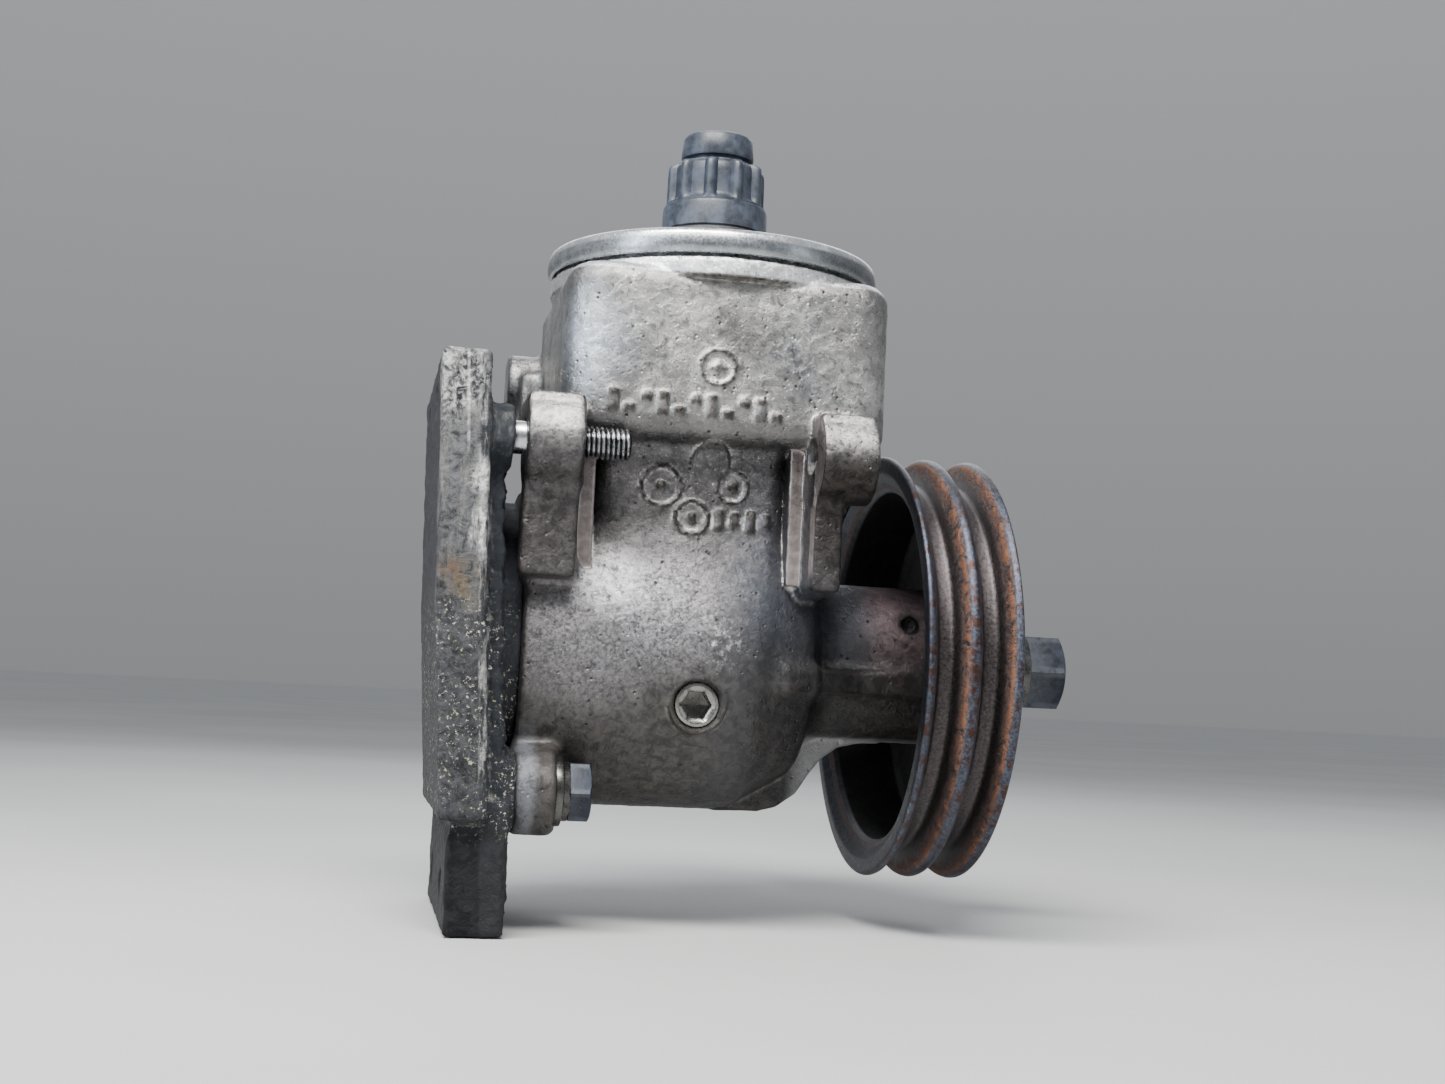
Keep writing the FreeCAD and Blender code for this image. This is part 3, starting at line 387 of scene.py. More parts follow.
def keel(span, level, half, edge):
    """An upright web along the shaft, from a level down to an edge that varies with x."""

    def form(x, y, z):
        below = (edge(x) - z) * 0.75
        d = np.maximum(below, z - level[0])
        ends = np.maximum(span[0] - x, x - span[1])
        outer = np.maximum(d, ends) + 1.2
        thick = np.abs(y) - half + 1.2
        return (np.sqrt(np.maximum(outer, 0) ** 2 + np.maximum(thick, 0) ** 2)
                + np.minimum(np.maximum(outer, thick), 0) - 1.2)

    lowest = float(min(edge(np.linspace(span[0], span[1], 60))))
    return form, [span[0], -half, lowest], [span[1], half, level[0]]


# ------------------------------------------------------------------ mesh helpers
def mesh_from(name, points, faces):
    mesh = bpy.data.meshes.new(name)
    points = np.asarray(points, np.float64) * MM
    mesh.from_pydata([tuple(p) for p in points], [], [tuple(f) for f in faces])
    mesh.update()
    return mesh


def quads_to_mesh(name, points, quads):
    mesh = bpy.data.meshes.new(name)
    mesh.vertices.add(len(points))
    mesh.vertices.foreach_set("co", (np.asarray(points) * MM).astype(np.float32).ravel())
    mesh.loops.add(len(quads) * 4)
    mesh.loops.foreach_set("vertex_index", quads.astype(np.int32).ravel())
    mesh.polygons.add(len(quads))
    mesh.polygons.foreach_set("loop_start", np.arange(0, len(quads) * 4, 4, dtype=np.int32))
    mesh.polygons.foreach_set("loop_total", np.full(len(quads), 4, np.int32))
    mesh.update(calc_edges=True)
    mesh.validate()
    return mesh


def piece(name, mesh):
    made = bpy.data.objects.new(name, mesh)
    bpy.context.scene.collection.objects.link(made)
    return made


def baked(thing, name):
    """The piece with its modifiers made part of a plain mesh."""
    graph = bpy.context.evaluated_depsgraph_get()
    graph.update()
    mesh = bpy.data.meshes.new_from_object(thing.evaluated_get(graph))
    mesh.name = name
    thing.modifiers.clear()
    old = thing.data
    thing.data = mesh
    bpy.data.meshes.remove(old)
    return thing


def outward(mesh):
    work = bmesh.new()
    work.from_mesh(mesh)
    bmesh.ops.remove_doubles(work, verts=work.verts, dist=2e-6)
    bmesh.ops.recalc_face_normals(work, faces=work.faces)
    work.to_mesh(mesh)
    work.free()


def smooth(mesh, degrees=38.0):
    """Smooth shading with creases kept where faces meet sharply."""
    mesh.polygons.foreach_set("use_smooth", [True] * len(mesh.polygons))
    mesh.set_sharp_from_angle(angle=math.radians(degrees))


def settle(thing, finish, slot, body, *nodes):
    """Give a finished piece its material, its body and the solids it stands for."""
    thing.data.materials.clear()
    thing.data.materials.append(finish)
    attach(thing, body)
    if nodes:
        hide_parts(*nodes)


def thin(thing, triangles):
    """Spend no more than a set number of triangles where the surface is flat."""
    have = sum(len(p.vertices) - 2 for p in thing.data.polygons)
    if have > triangles:
        shrink = thing.modifiers.new("Thin", "DECIMATE")
        shrink.ratio = triangles / have
        baked(thing, thing.name)


# ------------------------------------------------------------------ ring array nodes
def ring_tree():
    """Repeats a sector of a round piece about an axis and welds the copies."""
    name = "Pump ring array"
    if name in bpy.data.node_groups:
        return bpy.data.node_groups[name]
    tree = bpy.data.node_groups.new(name, "GeometryNodeTree")
    face = tree.interface
    face.new_socket("Geometry", in_out="INPUT", socket_type="NodeSocketGeometry")
    face.new_socket("Count", in_out="INPUT", socket_type="NodeSocketInt")
    face.new_socket("Axis", in_out="INPUT", socket_type="NodeSocketVector")
    face.new_socket("Weld", in_out="INPUT", socket_type="NodeSocketFloat")
    face.new_socket("Finish", in_out="INPUT", socket_type="NodeSocketMaterial")
    face.new_socket("Geometry", in_out="OUTPUT", socket_type="NodeSocketGeometry")
    add, link = tree.nodes.new, tree.links.new
    enter, leave = add("NodeGroupInput"), add("NodeGroupOutput")
    spots, index = add("GeometryNodePoints"), add("GeometryNodeInputIndex")
    share, angle = add("ShaderNodeMath"), add("ShaderNodeMath")
    share.operation, angle.operation = "DIVIDE", "MULTIPLY"
    angle.inputs[1].default_value = 2.0 * math.pi
    turn = add("FunctionNodeAxisAngleToRotation")
    copies, solid = add("GeometryNodeInstanceOnPoints"), add("GeometryNodeRealizeInstances")
    weld, coat = add("GeometryNodeMergeByDistance"), add("GeometryNodeSetMaterial")
    link(enter.outputs["Count"], spots.inputs["Count"])
    link(index.outputs[0], share.inputs[0])
    link(enter.outputs["Count"], share.inputs[1])
    link(share.outputs[0], angle.inputs[0])
    link(enter.outputs["Axis"], turn.inputs["Axis"])
    link(angle.outputs[0], turn.inputs["Angle"])
    link(spots.outputs[0], copies.inputs["Points"])
    link(enter.outputs["Geometry"], copies.inputs["Instance"])
    link(turn.outputs[0], copies.inputs["Rotation"])
    link(copies.outputs[0], solid.inputs[0])
    link(solid.outputs[0], weld.inputs["Geometry"])
    link(enter.outputs["Weld"], weld.inputs["Distance"])
    link(weld.outputs[0], coat.inputs["Geometry"])
    link(enter.outputs["Finish"], coat.inputs["Material"])
    link(coat.outputs[0], leave.inputs[0])
    return tree


def set_inputs(modifier, values):
    sockets = {s.name: s.identifier for s in modifier.node_group.interface.items_tree
               if s.in_out == "INPUT"}
    for name, value in values.items():
        modifier[sockets[name]] = value


AXES = {"X": (1.0, 0.0, 0.0), "Y": (0.0, 1.0, 0.0), "Z": (0.0, 0.0, 1.0)}


def sector(rows, count, columns, closed=False):
    """A sector of a round piece about +X: rows are (station, radius or radius of angle)."""
    points, faces = [], []
    step = 2.0 * math.pi / count / columns
    for station, radius in rows:
        for c in range(columns + 1):
            a = step * c
            r = radius(a) if callable(radius) else radius
            points.append((station, r * math.cos(a), r * math.sin(a)))
    wide = columns + 1
    last = len(rows) if closed else len(rows) - 1
    for row in range(last):
        after = (row + 1) % len(rows)
        for c in range(columns):
            faces.append((row * wide + c, row * wide + c + 1, after * wide + c + 1,
                          after * wide + c))
    return points, faces


def turned_piece(name, rows, count, columns, axis, centre, finish, closed=False, degrees=38.0):
    """A round piece from one sector, repeated by the ring array, in its place."""
    points, faces = sector(rows, count, columns, closed)
    thing = piece(name, mesh_from(name, points, faces))
    ring = thing.modifiers.new("Ring", "NODES")
    ring.node_group = ring_tree()
    set_inputs(ring, {"Count": count, "Axis": AXES["X"], "Weld": 4e-6, "Finish": finish})
    baked(thing, name)
    turn = {"X": Matrix.Identity(4), "Y": Matrix.Rotation(math.radians(90), 4, "Z"),
            "Z": Matrix.Rotation(math.radians(-90), 4, "Y")}[axis]
    thing.data.transform(Matrix.Translation(Vector(centre) * MM) @ turn)
    work = bmesh.new()
    work.from_mesh(thing.data)
    bmesh.ops.remove_doubles(work, verts=work.verts, dist=3e-6)
    bmesh.ops.dissolve_degenerate(work, edges=work.edges, dist=1e-6)
    bmesh.ops.recalc_face_normals(work, faces=work.faces)
    work.to_mesh(thing.data)
    work.free()
    smooth(thing.data, degrees)
    return thing


def rounded(rows, radius, closed=False, steps=3):
    """Round the corners of a (station, radius) profile."""
    out = []
    count = len(rows)
    for k, here in enumerate(rows):
        ends = not closed and k in (0, count - 1)
        a, b = rows[k - 1], rows[(k + 1) % count]
        p = Vector(here)
        if ends:
            out.append(here)
            continue
        u, v = Vector(a) - p, Vector(b) - p
        reach = min(radius, u.length * 0.45, v.length * 0.45)
        if reach < 0.02:
            out.append(here)
            continue
        s, e = p + u.normalized() * reach, p + v.normalized() * reach
        for i in range(steps + 1):
            t = i / steps
            q = s * (1 - t) ** 2 + p * 2 * t * (1 - t) + e * t ** 2
            out.append((q.x, q.y))
    return out


# ------------------------------------------------------------------ finishes
class Finish:
    """A procedural material on object coordinates, built socket by socket."""

    def __init__(self, name):
        self.material = bpy.data.materials.new(name)
        self.material.use_nodes = True
        self.tree = self.material.node_tree
        self.shader = self.tree.nodes["Principled BSDF"]
        self.place = self.tree.nodes.new("ShaderNodeTexCoord").outputs["Object"]

    def add(self, kind, **settings_):
        made = self.tree.nodes.new(kind)
        for key, value in settings_.items():
            setattr(made, key, value)
        return made

    def feed(self, socket, value):
        if isinstance(value, bpy.types.NodeSocket):
            self.tree.links.new(value, socket)
        elif socket.type == "RGBA" and len(value) == 3:
            socket.default_value = (*value, 1.0)
        else:
            socket.default_value = value

    def stretched(self, scale, shift=(0, 0, 0)):
        mapping = self.add("ShaderNodeMapping")
        mapping.inputs["Scale"].default_value = scale
        mapping.inputs["Location"].default_value = shift
        self.feed(mapping.inputs["Vector"], self.place)
        return mapping.outputs[0]

    def grain(self, size_mm, detail=5.0, rough=0.6, stretch=None, shift=(0, 0, 0), warp=0.0):
        tex = self.add("ShaderNodeTexNoise")
        tex.inputs["Scale"].default_value = 1000.0 / size_mm
        tex.inputs["Detail"].default_value = detail
        tex.inputs["Roughness"].default_value = rough
        tex.inputs["Distortion"].default_value = warp
        self.feed(tex.inputs["Vector"], self.stretched(stretch or (1, 1, 1), shift))
        return tex.outputs[0]

    def pits(self, size_mm, shift=(0, 0, 0), smooth_=0.6, random=1.0):
        tex = self.add("ShaderNodeTexVoronoi", feature="SMOOTH_F1")
        tex.inputs["Scale"].default_value = 1000.0 / size_mm
        tex.inputs["Smoothness"].default_value = smooth_
        tex.inputs["Randomness"].default_value = random
        self.feed(tex.inputs["Vector"], self.stretched((1, 1, 1), shift))
        return tex.outputs["Distance"]

    def curve(self, value, low, high, from_=0.0, to=1.0):
        node = self.add("ShaderNodeMapRange", interpolation_type="SMOOTHSTEP", clamp=True)
        self.feed(node.inputs["Value"], value)
        for key, number in (("From Min", low), ("From Max", high), ("To Min", from_),
                            ("To Max", to)):
            node.inputs[key].default_value = number
        return node.outputs[0]

    def maths(self, operation, a, b=0.0, clamp=False):
        node = self.add("ShaderNodeMath", operation=operation, use_clamp=clamp)
        self.feed(node.inputs[0], a)
        self.feed(node.inputs[1], b)
        return node.outputs[0]

    def times(self, a, b, clamp=False):
        return self.maths("MULTIPLY", a, b, clamp)

    def plus(self, a, b, clamp=False):
        return self.maths("ADD", a, b, clamp)

    def less(self, a, b, clamp=False):
        return self.maths("SUBTRACT", a, b, clamp)

    def larger(self, a, b):
        return self.maths("MAXIMUM", a, b)

    def mottle(self, noise_, low, high, dark, light):
        """Two tones, the dark one where the noise is low."""
        return self.blend(self.curve(noise_, low, high), dark, light)

    def blend(self, share, a, b):
        node = self.add("ShaderNodeMix", data_type="RGBA")
        self.feed(node.inputs[0], share)
        self.feed(node.inputs[6], a)
        self.feed(node.inputs[7], b)
        return node.outputs[2]

    def axis(self, name):
        node = self.add("ShaderNodeSeparateXYZ")
        self.feed(node.inputs[0], self.place)
        return node.outputs[name]

    def edges(self, low, high):
        """Where the surface bulges: worn high spots and edges."""
        return self.curve(self.add("ShaderNodeNewGeometry").outputs["Pointiness"], low, high)

    def spot(self, centre, radius, soft=1.0):
        """1 near a point, 0 outside its radius, in millimetres."""
        node = self.add("ShaderNodeVectorMath", operation="DISTANCE")
        self.feed(node.inputs[0], self.place)
        node.inputs[1].default_value = [v * MM for v in centre]
        return self.curve(node.outputs["Value"], radius * MM, radius * MM * (1 - soft))

    def finish(self, color, rough, metal, height=None, depth_mm=0.1, strength=1.0, specular=0.5):
        self.feed(self.shader.inputs["Base Color"], color)
        self.feed(self.shader.inputs["Roughness"], rough)
        self.feed(self.shader.inputs["Metallic"], metal)
        self.shader.inputs["Specular IOR Level"].default_value = specular
        if height is not None:
            bump = self.add("ShaderNodeBump")
            bump.inputs["Strength"].default_value = strength
            bump.inputs["Distance"].default_value = depth_mm * MM
            self.feed(bump.inputs["Height"], height)
            self.feed(self.shader.inputs["Normal"], bump.outputs[0])
        return self.material


def shade(rgb, k):
    return tuple(min(1.0, c * k) for c in rgb)


def cast_aluminium():
    c = settings().colours
    f = Finish("weathered sand-cast aluminium")
    sand = f.grain(1.25, 7.0, 0.74)
    crust = f.grain(3.4, 6.0, 0.70, shift=(2, 6, 1), warp=0.6)
    blotch = f.grain(11.0, 6.0, 0.66, shift=(3, 1, 2), warp=0.5)
    wide = f.grain(42.0, 4.0, 0.58, shift=(7, 2, 5))
    height, along = f.axis("Z"), f.axis("X")
    crown = f.curve(height, 0.060, 0.080)
    pores = f.curve(f.pits(2.6, smooth_=0.3), 0.26, 0.06)
    pores = f.times(pores, f.curve(f.grain(7.0, 3.0, 0.6, shift=(1, 8, 3)), 0.46, 0.60))
    # base metal: speckled grey, paler and cleaner on the reservoir
    tone = f.mottle(crust, 0.33, 0.67, shade(c.cast, 0.55), shade(c.cast, 1.25))
    clean = f.mottle(wide, 0.34, 0.64, shade(c.cast_worn, 0.34), shade(c.cast_worn, 0.88))
    clean = f.blend(f.curve(crust, 0.50, 0.64, 0.0, 0.70), clean, shade(c.cast_worn, 0.20))
    share = f.times(crown, f.curve(blotch, 0.30, 0.58, 0.45, 1.0))
    tone = f.blend(share, tone, clean)
    patch = f.times(f.spot((112.0, -50.0, 92.0), 26.0), f.curve(blotch, 0.40, 0.56))
    tone = f.blend(f.times(patch, f.curve(crust, 0.40, 0.58, 0.35, 0.95)), tone,
                   (0.085, 0.088, 0.104))
    patch = f.times(f.spot((58.0, -50.0, 84.0), 26.0, 0.9), f.curve(blotch, 0.44, 0.58))
    tone = f.blend(f.times(patch, f.curve(crust, 0.42, 0.60, 0.2, 0.8)), tone,
                   (0.110, 0.108, 0.112))
    # painted highlight: a bluish-white sky reflection on the reservoir's upper left corner
    painted_sky_highlight = f.times(f.spot((38.0, -48.0, 94.0), 24.0, 0.9), f.curve(crust, 0.34, 0.56, 0.2, 1.0))
    tone = f.blend(f.times(painted_sky_highlight, 0.75), tone, (0.60, 0.66, 0.74))
    glint = f.curve(f.grain(0.8, 4.0, 0.75, shift=(9, 9, 1)), 0.56, 0.68)
    tone = f.blend(f.times(glint, 0.38), tone, shade(c.cast_worn, 1.0))
    # soiling and painted shade: the lower body darker towards the bottom, less on a paler worn
    # place with a painted sheen on its left side
    low = f.curve(height, 0.066, 0.012)
    # painted shade: the underside of the body darker, away from the light above
    under = f.curve(height, 0.000, -0.048)
    dirt_and_shade = f.times(low, f.curve(blotch, 0.26, 0.60, 0.50, 0.95))
    # a paler worn place and a painted sheen where the light falls on the middle of the body
    rubbed_and_sheen = f.larger(f.times(f.spot((46.0, -50.0, 4.0), 34.0, 0.8), 0.40),
                      f.times(f.spot((68.0, -48.0, 13.0), 30.0, 0.9), 0.78))
    dirt_and_shade = f.less(f.plus(dirt_and_shade, f.times(under, 0.5), True), rubbed_and_sheen, True)
    # dark tone of the soiling and the painted shade
    dirt_and_shade_tone = f.mottle(crust, 0.35, 0.66, (0.017, 0.015, 0.014), (0.068, 0.060, 0.054))
    tone = f.blend(f.times(dirt_and_shade, 0.92), tone, dirt_and_shade_tone)
    tone = f.blend(f.times(rubbed_and_sheen, f.curve(sand, 0.40, 0.62, 0.1, 0.9)), tone,
                   (0.47, 0.455, 0.475))
    # painted shade: a cool bluish tone on the lower right of the body
    cold = f.times(f.curve(along, 0.080, 0.104), f.times(low, 0.42))
    tone = f.blend(cold, tone, (0.078, 0.094, 0.130))
    pink = f.times(f.curve(along, 0.134, 0.146),
                   f.times(f.curve(f.axis("Z"), 0.056, 0.040), f.curve(wide, 0.3, 0.6, 0.45, 0.9)))
    tone = f.blend(pink, tone, f.mottle(crust, 0.4, 0.6, (0.070, 0.044, 0.048),
                                        (0.150, 0.100, 0.106)))
    shadow = f.times(f.curve(along, 0.080, 0.102), f.curve(height, 0.020, -0.012))
    tone = f.blend(f.times(shadow, 0.88), tone,
                   f.mottle(crust, 0.4, 0.62, (0.016, 0.014, 0.013), (0.040, 0.036, 0.032)))
    tone = f.blend(f.times(pores, 0.85), tone, shade(c.grime_and_shade, 0.8))
    # worn edges, painted shade in creases, bright scuffs
    worn = f.times(f.edges(0.512, 0.56), f.curve(crust, 0.30, 0.52, 0.30, 1.0))
    worn = f.times(worn, f.curve(height, -0.020, 0.030, 0.45, 1.0))
    tone = f.blend(worn, tone, c.cast_worn)
    # painted shade: hollows and creases darkened
    crease_shade = f.edges(0.490, 0.44)
    tone = f.blend(f.times(crease_shade, 0.92), tone, c.grime_and_shade)
    scuffs = f.spot((53.0, -43.5, 20.0), 15.0, 0.9)
    scuffs = f.times(scuffs, f.curve(f.grain(2.2, 6.0, 0.8), 0.38, 0.56), clamp=True)
    nicks = f.times(f.spot((86.0, -48.0, 4.0), 13.0), f.curve(f.grain(2.4, 6.0, 0.8), 0.52, 0.62))
    keel_edge = f.times(f.curve(f.axis("Z"), -0.024, -0.0262), f.curve(along, 0.118, 0.126))
    bright = f.plus(f.plus(f.times(scuffs, 0.85), f.times(nicks, 0.5)), f.times(keel_edge, 0.35),
                    True)
    tone = f.blend(bright, tone, (0.74, 0.74, 0.76))
    # painted highlight on the tops of the ear and the lug, where the light falls from above
    ears = f.plus(f.spot((33.0, -67.0, 69.0), 15.0, 0.8), f.spot((124.0, -66.0, 66.0), 15.0, 0.8),
                  True)
    ears = f.times(ears, f.curve(crust, 0.30, 0.55, 0.5, 1.0))
    tone = f.blend(f.times(ears, 0.80), tone, f.mottle(sand, 0.4, 0.6, (0.36, 0.33, 0.32),
                                                       (0.62, 0.60, 0.58)))
    milled = f.times(f.curve(f.axis("Y"), -0.0434, -0.0438), f.curve(f.axis("Y"), -0.0446, -0.0442))
    bars = f.plus(f.times(f.curve(along, 0.1066, 0.1074), f.curve(along, 0.1134, 0.1128)),
                  f.times(f.curve(along, 0.0405, 0.0412), f.curve(along, 0.0474, 0.0468)), True)
    milled = f.times(milled, f.times(bars, f.curve(height, 0.018, 0.024)))
    cheek = f.times(f.curve(along, 0.1124, 0.1128), f.curve(along, 0.1138, 0.1133))
    cheek = f.times(cheek, f.times(f.curve(f.axis("Y"), -0.0510, -0.0518),
                                   f.curve(height, 0.022, 0.028)))
    milled = f.larger(milled, cheek)
    tone = f.blend(milled, tone, f.blend(f.curve(f.grain(2.6, 4.0, 0.6), 0.35, 0.65),
                                         (0.185, 0.158, 0.152), (0.265, 0.232, 0.222)))
    bolt_y, bolt_z = bolt_place()
    boss = (corners("mounting_bracket")[1][0] + 9.0, -bolt_y, bolt_z)
    boss = f.times(f.spot(boss, 25.0, 0.55), f.curve(f.axis("Y"), -0.036, -0.044))
    boss = f.times(boss, f.curve(along, 0.0345, 0.0305))
    tone = f.blend(f.times(boss, f.curve(crust, 0.34, 0.56, 0.45, 0.9)), tone,
                   (0.165, 0.175, 0.195))
    # painted shade on the webs under the ear and lug bosses
    webs = f.larger(f.times(f.spot((123.0, -72.0, 38.0), 36.0, 0.5), 0.96),
                    f.times(f.spot((32.0, -74.0, 32.0), 34.0, 0.55), 0.70))
    webs = f.times(webs, f.less(1.0, milled))
    tone = f.blend(webs, tone, f.mottle(crust, 0.36, 0.6, (0.013, 0.011, 0.010),
                                        (0.042, 0.036, 0.033)))
    collar = f.curve(height, 0.1158, 0.1168)
    tone = f.blend(f.times(collar, f.curve(blotch, 0.30, 0.55, 0.55, 0.90)), tone,
                   (0.74, 0.75, 0.76))
    # painted shade in and round the small drilled hole in the snout
    hole = f.times(f.spot((155.0, -21.0, 12.8), 6.4, 0.62), f.curve(crust, 0.30, 0.42, 0.7, 1.0))
    tone = f.blend(hole, tone, (0.008, 0.007, 0.007))
    rough = f.plus(f.curve(sand, 0.3, 0.7, 0.22, 0.42), f.times(dirt_and_shade, 0.10))
    rough = f.less(rough, f.times(worn, 0.10), True)
    relief = f.plus(f.times(sand, 0.55), f.times(crust, 1.0))
    relief = f.less(relief, f.times(pores, 0.9))
    relief = f.times(relief, f.less(1.0, f.times(milled, 0.85)))
    metal = f.less(0.95, f.times(f.larger(f.larger(dirt_and_shade, hole), shadow), 0.6), True)
    return f.finish(tone, rough, metal, relief, 0.50, 0.9)


def greasy_iron():
    c = settings().colours
    f = Finish("greasy dark cast iron")
    sand = f.grain(1.5, 6.0, 0.72)
    crust = f.grain(3.6, 7.0, 0.74, shift=(1, 3, 3), warp=0.7)
    blotch = f.grain(12.0, 6.0, 0.7, shift=(2, 4, 6))
    streak = f.grain(4.5, 6.0, 0.72, stretch=(1.0, 1.0, 0.20), shift=(4, 1, 1))
    x, z = f.axis("X"), f.axis("Z")
    leaned = f.plus(x, f.times(z, 0.055))
    tone = f.mottle(crust, 0.34, 0.66, shade(c.iron, 0.6), shade(c.iron, 2.4))
    upper = f.curve(z, -0.010, 0.050)
    front = f.curve(f.axis("Y"), -0.0570, -0.0600)
    face = f.times(front, f.curve(leaned, 0.0142, 0.0128))
    # painted light: the pale front face lighter towards the top, fading out at the foot
    tone = f.blend(f.times(f.times(face, f.curve(z, -0.020, 0.070, 0.26, 0.80)),
                           f.curve(z, -0.060, -0.052, 0.10, 1.0)), tone,
                   f.mottle(crust, 0.34, 0.66, (0.022, 0.022, 0.025), (0.205, 0.205, 0.210)))
    dusty = f.times(f.curve(streak, 0.44, 0.64), f.times(upper, 0.75))
    tone = f.blend(f.times(dusty, front), tone, (0.21, 0.205, 0.19))
    cold = f.times(f.curve(leaned, 0.0128, 0.0150), f.curve(crust, 0.36, 0.60, 0.2, 0.8))
    tone = f.blend(cold, tone, (0.016, 0.021, 0.029))
    # painted shade: the foot near the floor darkened almost to black
    foot = f.curve(z, -0.044, -0.060)
    tone = f.blend(f.times(foot, 0.93), tone,
                   f.mottle(crust, 0.38, 0.62, (0.005, 0.005, 0.006), (0.017, 0.017, 0.020)))
    fleck = f.curve(f.grain(1.3, 5.0, 0.8, shift=(5, 5, 9)), 0.575, 0.63)
    band = f.times(f.curve(z, -0.062, -0.050), f.curve(z, 0.022, 0.004))
    side = f.curve(leaned, -0.004, 0.008, 0.7, 1.0)
    fleck = f.times(f.times(fleck, side), f.times(band, f.curve(blotch, 0.38, 0.52)))
    tone = f.blend(f.times(fleck, 0.95), tone, f.mottle(blotch, 0.4, 0.6, (0.40, 0.36, 0.20),
                                                        (0.68, 0.66, 0.55)))
    tan = f.times(f.spot((8.0, -62.0, 16.0), 11.0, 0.9), f.curve(crust, 0.46, 0.62))
    tone = f.blend(f.times(tan, 0.8), tone, f.mottle(sand, 0.4, 0.6, (0.105, 0.078, 0.040),
                                                     (0.19, 0.135, 0.060)))
    rusty = f.times(f.spot((3.5, -62.0, 20.0), 6.0), f.curve(crust, 0.40, 0.52))
    tone = f.blend(f.times(rusty, 0.8), tone, (0.12, 0.062, 0.032))
    worn = f.times(f.edges(0.515, 0.56), f.curve(streak, 0.44, 0.60))
    top = f.times(f.spot((1.0, -62.0, 76.0), 15.0, 0.6), f.curve(crust, 0.42, 0.56))
    # painted highlight: a thin bright line down the upper front face
    face_line_highlight = f.times(f.curve(leaned, 0.0093, 0.0097), f.curve(leaned, 0.0105, 0.0101))
    face_line_highlight = f.times(face_line_highlight, f.times(f.curve(z, 0.052, 0.060), front))
    rub = f.times(f.spot((12.6, -62.0, 47.0), 7.0, 0.6), f.curve(crust, 0.36, 0.50))
    rub2 = f.times(f.spot((12.6, -62.0, 32.0), 9.0, 0.6), f.curve(streak, 0.46, 0.58))
    # painted highlight along the right edge of the front face
    corner = f.times(f.times(f.curve(leaned, 0.0126, 0.0134), f.curve(leaned, 0.0162, 0.0150)),
                     f.times(front, f.curve(streak, 0.47, 0.57)))
    corner = f.times(corner, f.curve(z, -0.056, -0.034))
    # bare worn metal, together with the painted highlights of the line and the right edge
    bare = f.plus(f.plus(f.times(worn, 0.35), f.times(top, 0.85)),
                  f.plus(f.plus(rub, f.times(rub2, 0.7)), f.plus(f.times(face_line_highlight, 0.5),
                                                                 f.times(corner, 0.45))), True)
    tone = f.blend(bare, tone, f.mottle(sand, 0.4, 0.6, (0.28, 0.28, 0.27), (0.66, 0.66, 0.64)))
    rough = f.less(f.curve(crust, 0.3, 0.7, 0.46, 0.78), f.times(bare, 0.10), True)
    relief = f.plus(f.times(sand, 0.6), f.times(crust, 1.3))
    metal = f.larger(f.curve(bare, 0.0, 1.0, 0.10, 0.9), f.times(face, 0.55))
    return f.finish(tone, rough, metal, relief, 0.8, 1.0, specular=0.30)


def plated_steel(name, base, worn_rgb, spotting=0.5, lines=None, gleam=None):
    """Zinc-plated or bare sheet and fittings with stains and fine scratches."""
    f = Finish(name)
    fine = f.grain(0.8, 5.0, 0.7, stretch=lines or (1, 1, 1))
    blotch = f.grain(7.0, 5.0, 0.7, shift=(1, 2, 3))
    spots = f.curve(f.grain(2.0, 4.0, 0.75, shift=(4, 4, 4)), 0.54, 0.66)
    tone = f.mottle(blotch, 0.33, 0.67, shade(base, 0.62), shade(base, 1.22))
    tone = f.blend(f.times(spots, spotting), tone, shade(base, 0.30))
    worn = f.edges(0.52, 0.60)
    tone = f.blend(f.times(worn, 0.7), tone, worn_rgb)
    # painted shade: hollows and inside corners darkened
    tone = f.blend(f.times(f.edges(0.485, 0.42), 0.7), tone, shade(base, 0.2))
    if gleam:
        # painted shade: darker towards +X, the side away from the light
        far = f.curve(f.axis("X"), 0.070, 0.138, 0.0, 0.70)
        tone = f.blend(f.times(far, f.curve(blotch, 0.3, 0.5, 0.6, 1.0)), tone, shade(base, 0.35))
        # painted highlight: a bright band along the top of the rolled edge
        share = f.curve(f.axis("Z"), gleam[0] * MM, gleam[1] * MM)
        share = f.times(share, f.curve(blotch, 0.60, 0.42, 0.45, 0.95))
        share = f.times(share, f.curve(f.axis("Z"), (gleam[1] + 4.2) * MM, (gleam[1] + 2.4) * MM,
                                       0.25, 1.0))
        tone = f.blend(share, tone, (0.84, 0.85, 0.87))
        parts = f.add("ShaderNodeVectorMath", operation="DISTANCE")
        f.feed(parts.inputs[0], f.stretched((1.0, 1.0, 0.0)))
        parts.inputs[1].default_value = (gleam[2] * MM, 0.0, 0.0)
        # darker round the lid nut
        darker_near_nut = f.times(f.curve(parts.outputs["Value"], 0.035, 0.026),
                        f.curve(blotch, 0.30, 0.50, 0.6, 1.0))
        tone = f.blend(darker_near_nut, tone, shade(base, 0.14))
    rough = f.plus(f.curve(fine, 0.3, 0.7, 0.20, 0.38), f.times(spots, 0.14), True)
    relief = f.plus(f.times(fine, 0.6), f.times(blotch, 0.5))
    return f.finish(tone, rough, 0.92, relief, 0.09, 0.7)


